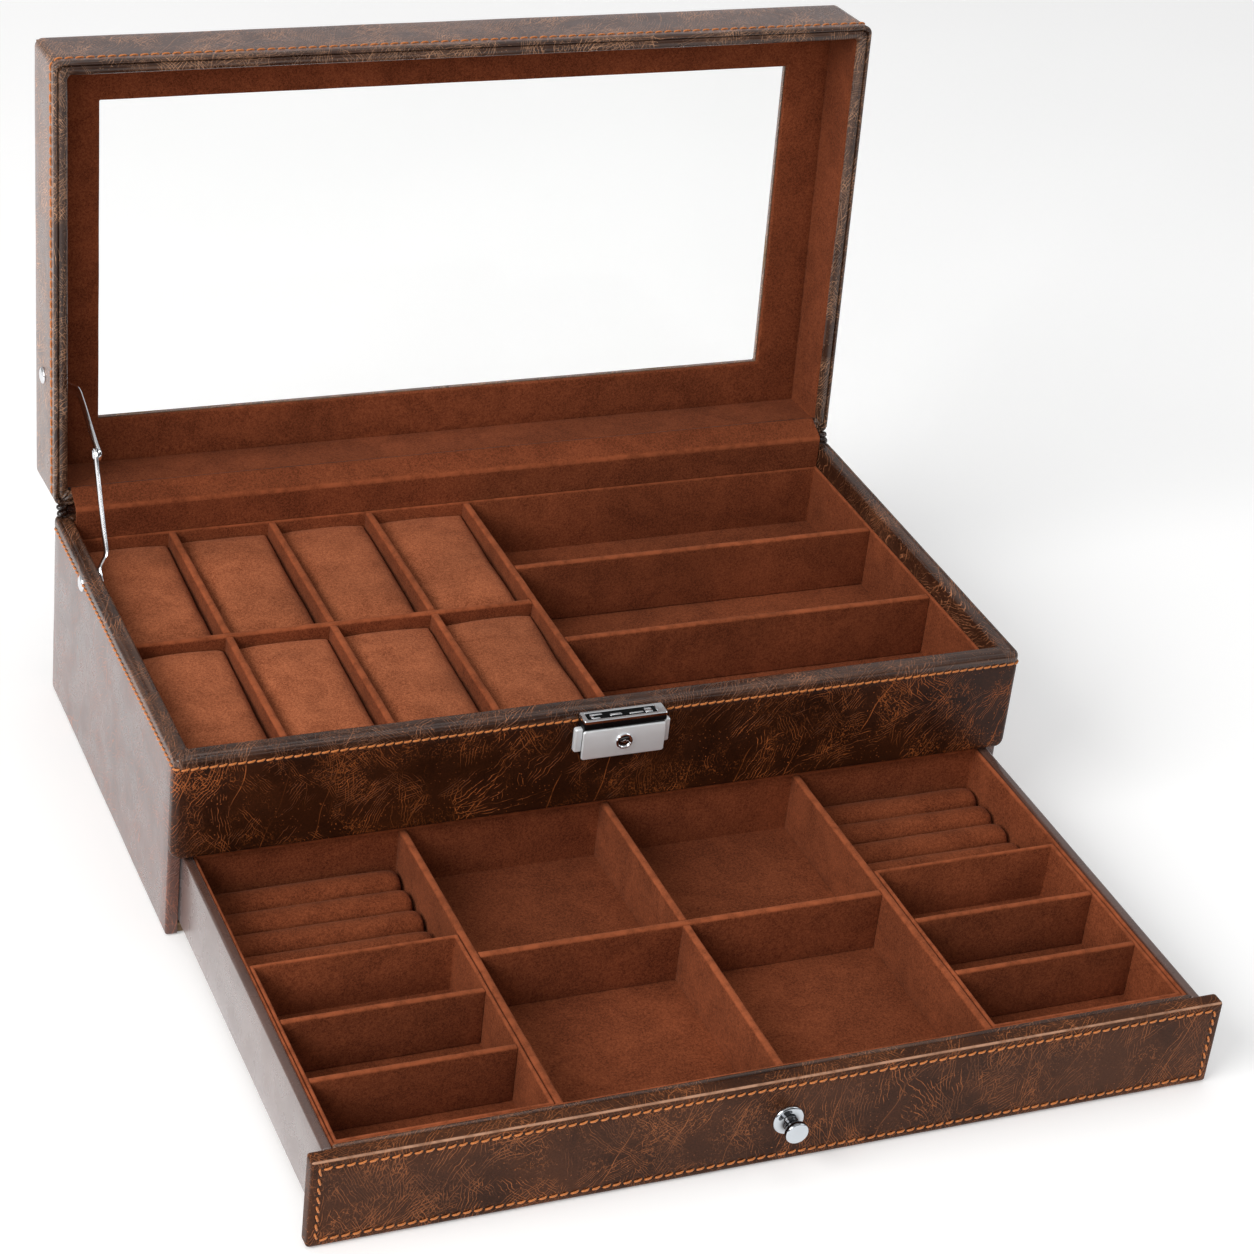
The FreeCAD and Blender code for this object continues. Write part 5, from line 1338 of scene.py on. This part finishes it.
m = Mesh().add(*dome(-171.1, -169.7, low[0], low[1], 3.3, -1))
v, f = lathe([(1.3, 0), (1.3, 8.5)], 20)
m.add([(-169.9 + p[2], low[0] + p[0], low[1] + p[1]) for p in v], f)
m.add(*dome(-161.2, -161.95, low[0], low[1], 2.1, 1))
m.build("stay_rivet_case_head", steel, "case", ("stay_rivet_case",), "plain_steel")
m = Mesh().add(*dome(-171.1, -169.7, top_p[0], top_p[1], 3.3, -1))
v, f = lathe([(1.3, 0), (1.3, 7.6)], 20)
m.add([(-169.9 + p[2], top_p[0] + p[0], top_p[1] + p[1]) for p in v], f)
m.add(*dome(-162.1, -162.8, top_p[0], top_p[1], 2.1, 1))
m.build("stay_rivet_lid_head", steel, "lid", ("stay_rivet_lid",), "plain_steel")
m = Mesh().add(*dome(-160.2, -159.6, mid[0], mid[1], 1.9, -1)).add(*dome(-156.5, -157.1, mid[0], mid[1], 1.9, 1))
v, f = lathe([(1.0, 0), (1.0, 2.6)], 16)
m.add([(-159.6 + p[2], mid[0] + p[0], mid[1] + p[1]) for p in v], f)
m.build("stay_rivet_head", steel, "stay_lower", ("stay_rivet",), "plain_steel")

# ------------------------------------------------------------------ lock

m = Mesh().add(*rbox_axis("y", (-16.4, 16.4, -96.9, -90.6, 62.2, 76.4), r=0.5, rc=1.0))
m.build("lock_housing", black, "case", ("lock_case",), "gloss_black")
# top plate: a frame round a long recess, solid toward its right end
loops = [
    rect_loop(-16.7, 16.7, -98.0, -91.1, 0.8, 77.7, 5, 4, 2), rect_loop(-16.7, 16.7, -98.0, -91.1, 0.8, 78.7, 5, 4, 2),
    rect_loop(-16.45, 16.45, -97.75, -91.35, 0.6, 79.0, 5, 4, 2), rect_loop(-15.0, 13.2, -96.9, -92.2, 0.5, 79.0, 5, 4, 2),
    rect_loop(-14.8, 13.0, -96.7, -92.4, 0.4, 78.8, 5, 4, 2), rect_loop(-14.8, 13.0, -96.7, -92.4, 0.4, 76.8, 5, 4, 2), rect_loop(-15.0, 13.2, -96.9, -92.2, 0.4, 76.8, 5, 4, 2),
]
m = Mesh().add(*loft(loops, wrap=True))
m.build("lock_top_plate", chrome, "case", (), "polished_chrome")
m = Mesh().add(*rbox(-14.9, 13.1, -96.8, -92.3, 76.3, 78.3, 0.1, 0.3, 2, 6, 2))
m.build("lock_recess", pit, "case", (), "gloss_black")
m = Mesh().add(*rbox_axis("y", (-16.6, 16.6, -98.0, -96.8, 62.0, 74.5), r=0.45, rc=1.1, cn=5))
m.build("lock_front_plate", satin, "case", ("lock_faceplate",), "brushed_satin")
# bezel under the top plate, a little deeper on the left
loops = []
for x in (-16.55, -16.4, -12, -6, 0, 6, 12, 16.4, 16.55):
    k = 0.25 if abs(x) > 16.5 else 0.0
    low = 74.55 + 0.5 * (x + 16.5) / 33.0
    loops.append([(x, y, z) for y, z in ((-91.1, low + k), (-97.2 + k, low + k), (-97.75 + k, low + 0.5), (-97.85 + k, 76.4), (-97.75 + k, 77.4), (-97.2 + k, 77.75 - k), (-91.1, 77.75 - k))])
m = Mesh().add(*loft(loops, cap0=True, cap1=True))
m.build("lock_bezel_band", bezel_black, "case", ("lock_bezel",), "gloss_black")
m = Mesh()
m.add(*rbox_axis("y", (-13.2, -12.1, -95.9, -93.0, 77.9, 78.85), r=0.25, rc=0.3))
m.add(*rbox_axis("y", (-12.6, -8.2, -94.0, -93.0, 77.9, 78.85), r=0.25, rc=0.3))
m.add(*rbox_axis("y", (-12.6, -9.6, -96.0, -95.2, 77.9, 78.7), r=0.2, rc=0.3))
m.add(*rbox_axis("y", (-5.4, -0.6, -95.2, -94.0, 77.9, 78.8), r=0.25, rc=0.4))
m.add(*rbox_axis("y", (2.2, 7.8, -95.6, -94.7, 77.9, 78.75), r=0.2, rc=0.3))
m.add(*rbox_axis("y", (8.6, 11.6, -96.0, -93.2, 77.9, 78.85), r=0.25, rc=0.5))
m.build("lock_latch_bar", chrome, "case", ("lock_latch",), "polished_chrome")
for side, s in (("left", -1), ("right", 1)):
    lo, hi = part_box("lock_tab_" + side)
    a = [q * 1000 for q in (lo.x, hi.x, lo.y, hi.y, lo.z, hi.z)]
    m = Mesh().add(*rbox_axis("x", a, r=0.9, rc=0.7, cn=5))
    m.build("lock_tab_" + side + "_cap", satin, "lock_tab_" + side, ("lock_tab_" + side,), "polished_chrome")
# plug: a ringed barrel with a keyway
PZ = 68.6


def facing(v, y0):
    """Lathe along -y: height grows toward the front."""
    return [(p[0], y0 - p[2], PZ + p[1]) for p in v]


v, f = lathe([(2.1, 0), (3.35, 0), (3.35, 0.55), (3.1, 0.82), (2.65, 0.86), (2.3, 0.6), (2.1, 0.3)], 40)
m = Mesh().add(facing(v, -97.9), f)
m.build("lock_ring", chrome, "case", (), "polished_chrome")
v, f = lathe([(2.2, 0), (2.2, 0.35), (2.0, 0.5), (0.05, 0.52)], 32)
m = Mesh().add(facing(v, -97.95), f)
barrel = m.build("lock_plug_barrel", black, "lock_plug", ("lock_plug",), "polished_chrome_with_a_dark_keyway")
m = Mesh()
v, f = lathe([(0.75, 0), (0.75, 0.14), (0.6, 0.2)], 20)
m.add(facing(v, -98.42), f)
m.add(*rbox_axis("y", (-1.55, 1.55, -98.62, -98.4, PZ - 0.28, PZ + 0.28), r=0.08, rc=0.2))
m.build("lock_keyway_bar", chrome, "lock_plug", (), "polished_chrome_with_a_dark_keyway")

# ------------------------------------------------------------------ drawer

D = "drawer"
for s, name in ((-1, "left"), (1, "right")):
    x0, x1 = (-164.4, -160.8) if s < 0 else (160.8, 164.4)
    m = Mesh().add(*rbox(x0, x1, -254.9, -82.9, 5.0, 35.2, 1.0, 1.0, 4, 2, 30, 3, 4, 0.6)).wobble(0.07, 30, 3.3)
    m.build("drawer_side_%s_leather" % name, leather_plain, D, ("drawer_side_" + name,), "board_in_smooth_dark_brown_leather")
m = Mesh().add(*rbox(-160.7, 160.7, -85.4, -82.8, 5.0, 35.2, 0.9, 0.9, 3, 30, 1, 2, 3, 0.5)).wobble(0.06, 20, 1)
m.build("drawer_back_leather", leather_plain, D, ("drawer_back_board",), "board_in_smooth_dark_brown_leather")
m = Mesh().add(*rbox(-160.7, 160.7, -254.8, -252.5, 5.0, 35.6, 1.1, 0.9, 4, 40, 1, 2, 3, 0.5)).wobble(0.09, 14, 1)
m.build("drawer_inner_front_leather", leather_pad, D, ("drawer_inner_front",), "board_in_smooth_dark_brown_leather")
m = Mesh().add(*slab(-160.7, 160.7, -252.3, -85.5, 8.02, 9.35, 5, 0.14, 4.0))
m.build("drawer_floor_suede", suede, D, ("drawer_floor_pad",), "tan_suede_on_card")
suede_ring("drawer_wall_suede", (-160.75, 160.75, -252.35, -85.45), (-159.4, 159.4, -251.0, -86.8), 9.3, 34.5, D, ("drawer_wall_lining",), "tan_suede_on_card", 0.6, mat=suede_drawer)
DT = 34.2
m = Mesh()
for c in (-80.7, 80.7):
    m.add(*divider(c - 1.5, c + 1.5, -250.95, -86.85, 9.3, DT))
m.wobble(0.13, 13, 1.7)
m.build("drawer_long_dividers_suede", suede_drawer, D, ("drawer_long_dividers",), "tan_suede_on_board")
m = Mesh().add(*divider(-1.5, 1.5, -250.95, -168.02, 9.3, DT)).add(*divider(-1.5, 1.5, -164.98, -86.85, 9.3, DT)).wobble(0.13, 13, 2.7)
m.build("drawer_middle_divider_suede", suede_drawer, D, ("drawer_middle_divider",), "tan_suede_on_board")
m = Mesh().add(*divider(-79.15, 79.15, -168.0, -165.0, 9.3, DT + 0.05)).wobble(0.13, 13, 3.7)
m.build("drawer_cross_divider_suede", suede_drawer, D, ("drawer_cross_divider",), "tan_suede_on_board")
for s, name in ((-1, "left"), (1, "right")):
    lo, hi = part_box("small_tray_" + name)
    x0, x1, y0, y1, z0, z1 = [q * 1000 for q in (lo.x, hi.x, lo.y, hi.y, lo.z, hi.z)]
    t = 1.4
    prof = [(0.0, z0), (0.0, z1 - 0.5), (0.2, z1 - 0.12), (0.5, z1), (0.8, z1 - 0.12), (1.0, z1 - 0.5), (1.0, z0 + t), ]
    loops = [rect_loop(x0 + 0.02, x1 - 0.02, y0, y1, 0.5, z0, 3, 14, 18)]
    for q, z in prof:
        o = t * q
        loops.append(rect_loop(x0 + o, x1 - o, y0 + o, y1 - o, 0.5, z, 3, 14, 18))
    m = Mesh().add(*loft(loops, cap0=True, cap1=True)).wobble(0.12, 11, 2.0 + s)
    m.build("small_tray_%s_suede" % name, suede_drawer, D, ("small_tray_" + name,), "tan_suede_on_board")
m = Mesh()
for s in (-1, 1):
    for yc in (-218.3, -185.9):
        xa, xb = sorted((s * 84.0, s * 157.6))
        m.add(*divider(xa, xb, yc - 1.2, yc + 1.2, 10.95, DT, 0.9))
m.wobble(0.12, 10, 6.1)
m.build("small_tray_dividers_suede", suede_drawer, D, ("small_tray_dividers",), "tan_suede_on_board")

# drawer front: leather panel with a stitched rectangle
loops = []
X, Z0, Z1, YF, YB = 170.0, 0.6, 36.2, -261.4, -255.0
ZC = (Z0 + Z1) / 2


def face_loop(inset, y, r):
    pts = rect_loop(-X + inset, X - inset, Z0 + inset, Z1 - inset, r, 0, 5, 90, 12)
    return [(p[0], y, p[1]) for p in pts]


for inset, y, r in (
    (1.5, YB, 0.5), (0.75, YB - 0.15, 0.6), (0.25, YB - 0.6, 0.8), (0.05, YB - 1.2, 0.9), (0.0, YB - 1.8, 1.0), (0.0, -258.0, 1.0), (0.0, -260.1, 1.0), (0.12, -260.75, 1.0), (0.45, -261.2, 0.9), (1.0, -261.38, 0.8),
    (1.9, -261.42, 0.7), (2.6, -261.36, 0.6), (3.0, -261.14, 0.5), (3.4, -261.36, 0.5), (4.3, -261.46, 0.5), (7.0, -261.5, 0.5), (11.0, -261.52, 0.5), (15.0, -261.52, 0.5), (17.4, -261.52, 0.3),
):
    loops.append(face_loop(inset, y, r))
m = Mesh().add(*loft(loops, cap0=True, cap1=True))
m.move(lambda p: (p[0], p[1] + (0.12 * noise.noise(Vector((p[0] / 22, p[2] / 18, 8.3))) if p[1] < -260 else 0), p[2]))
m.build("drawer_front_leather", leather_front, D, ("drawer_front_cover",), "dark_brown_crackled_leather")
tm, hm = Mesh(), Mesh()
pts = rect_loop(-X + 3.0, X - 3.0, Z0 + 3.0, Z1 - 3.0, 0.8, 0, 4, 60, 8)
path = [(p[0], -261.3, p[1]) for p in pts]
path_stitches(tm, hm, path, [(0, -1, 0)] * len(path), pitch=3.8, length=3.15, rad=0.42, slant=0.85, closed=True, seed=8)
tm.build("drawer_stitches", thread, D, (), None, 60)
hm.build("drawer_stitch_holes", hole_dark, D, (), None, 60)

# knob
prof = smooth_profile([(5.75, 0.0), (5.8, 0.45), (5.65, 0.95), (5.1, 1.3), (3.6, 1.7), (2.75, 2.3), (2.6, 3.1), (2.8, 4.1), (3.4, 5.1), (4.0, 6.1), (4.28, 7.0), (4.3, 7.6), (4.12, 8.05), (3.75, 8.3), (2.6, 8.38), (1.3, 8.38), (0.1, 8.38)], 4)
v, f = lathe([(0.1, 0.0)] + prof, 48)
m = Mesh().add([(p[0], -261.5 - p[2], 18.8 + p[1]) for p in v], f)
m.build("drawer_knob_turned", knob_chrome, D, ("drawer_knob",), "polished_chrome", 50)

# ------------------------------------------------------------------ CAD nodes that stay

keep = {
    "base_sheet": felt_mat, "bottom_board": board_mat, "side_board_left": board_mat, "side_board_right": board_mat, "back_board": board_mat,
    "fascia_board": board_mat, "deck_board": board_mat, "lid_frame": board_mat, "lid_top_panel": board_mat, "lid_glass": glass,
    "drawer_bottom": board_mat, "drawer_front_board": board_mat, "knob_screw": steel,
}
left = [n for n, o in nodes.items() if not o.hide_render and n not in keep]
if left:
    raise SystemExit("CAD nodes without a finish: %s" % left)
for n, mat in keep.items():
    o = nodes[n]
    if not o.material_slots:
        o.data.materials.append(mat)
    for s in o.material_slots:
        s.material = mat
nodes["lid_glass"].visible_shadow = False

# ------------------------------------------------------------------ finish

bpy.context.view_layer.update()
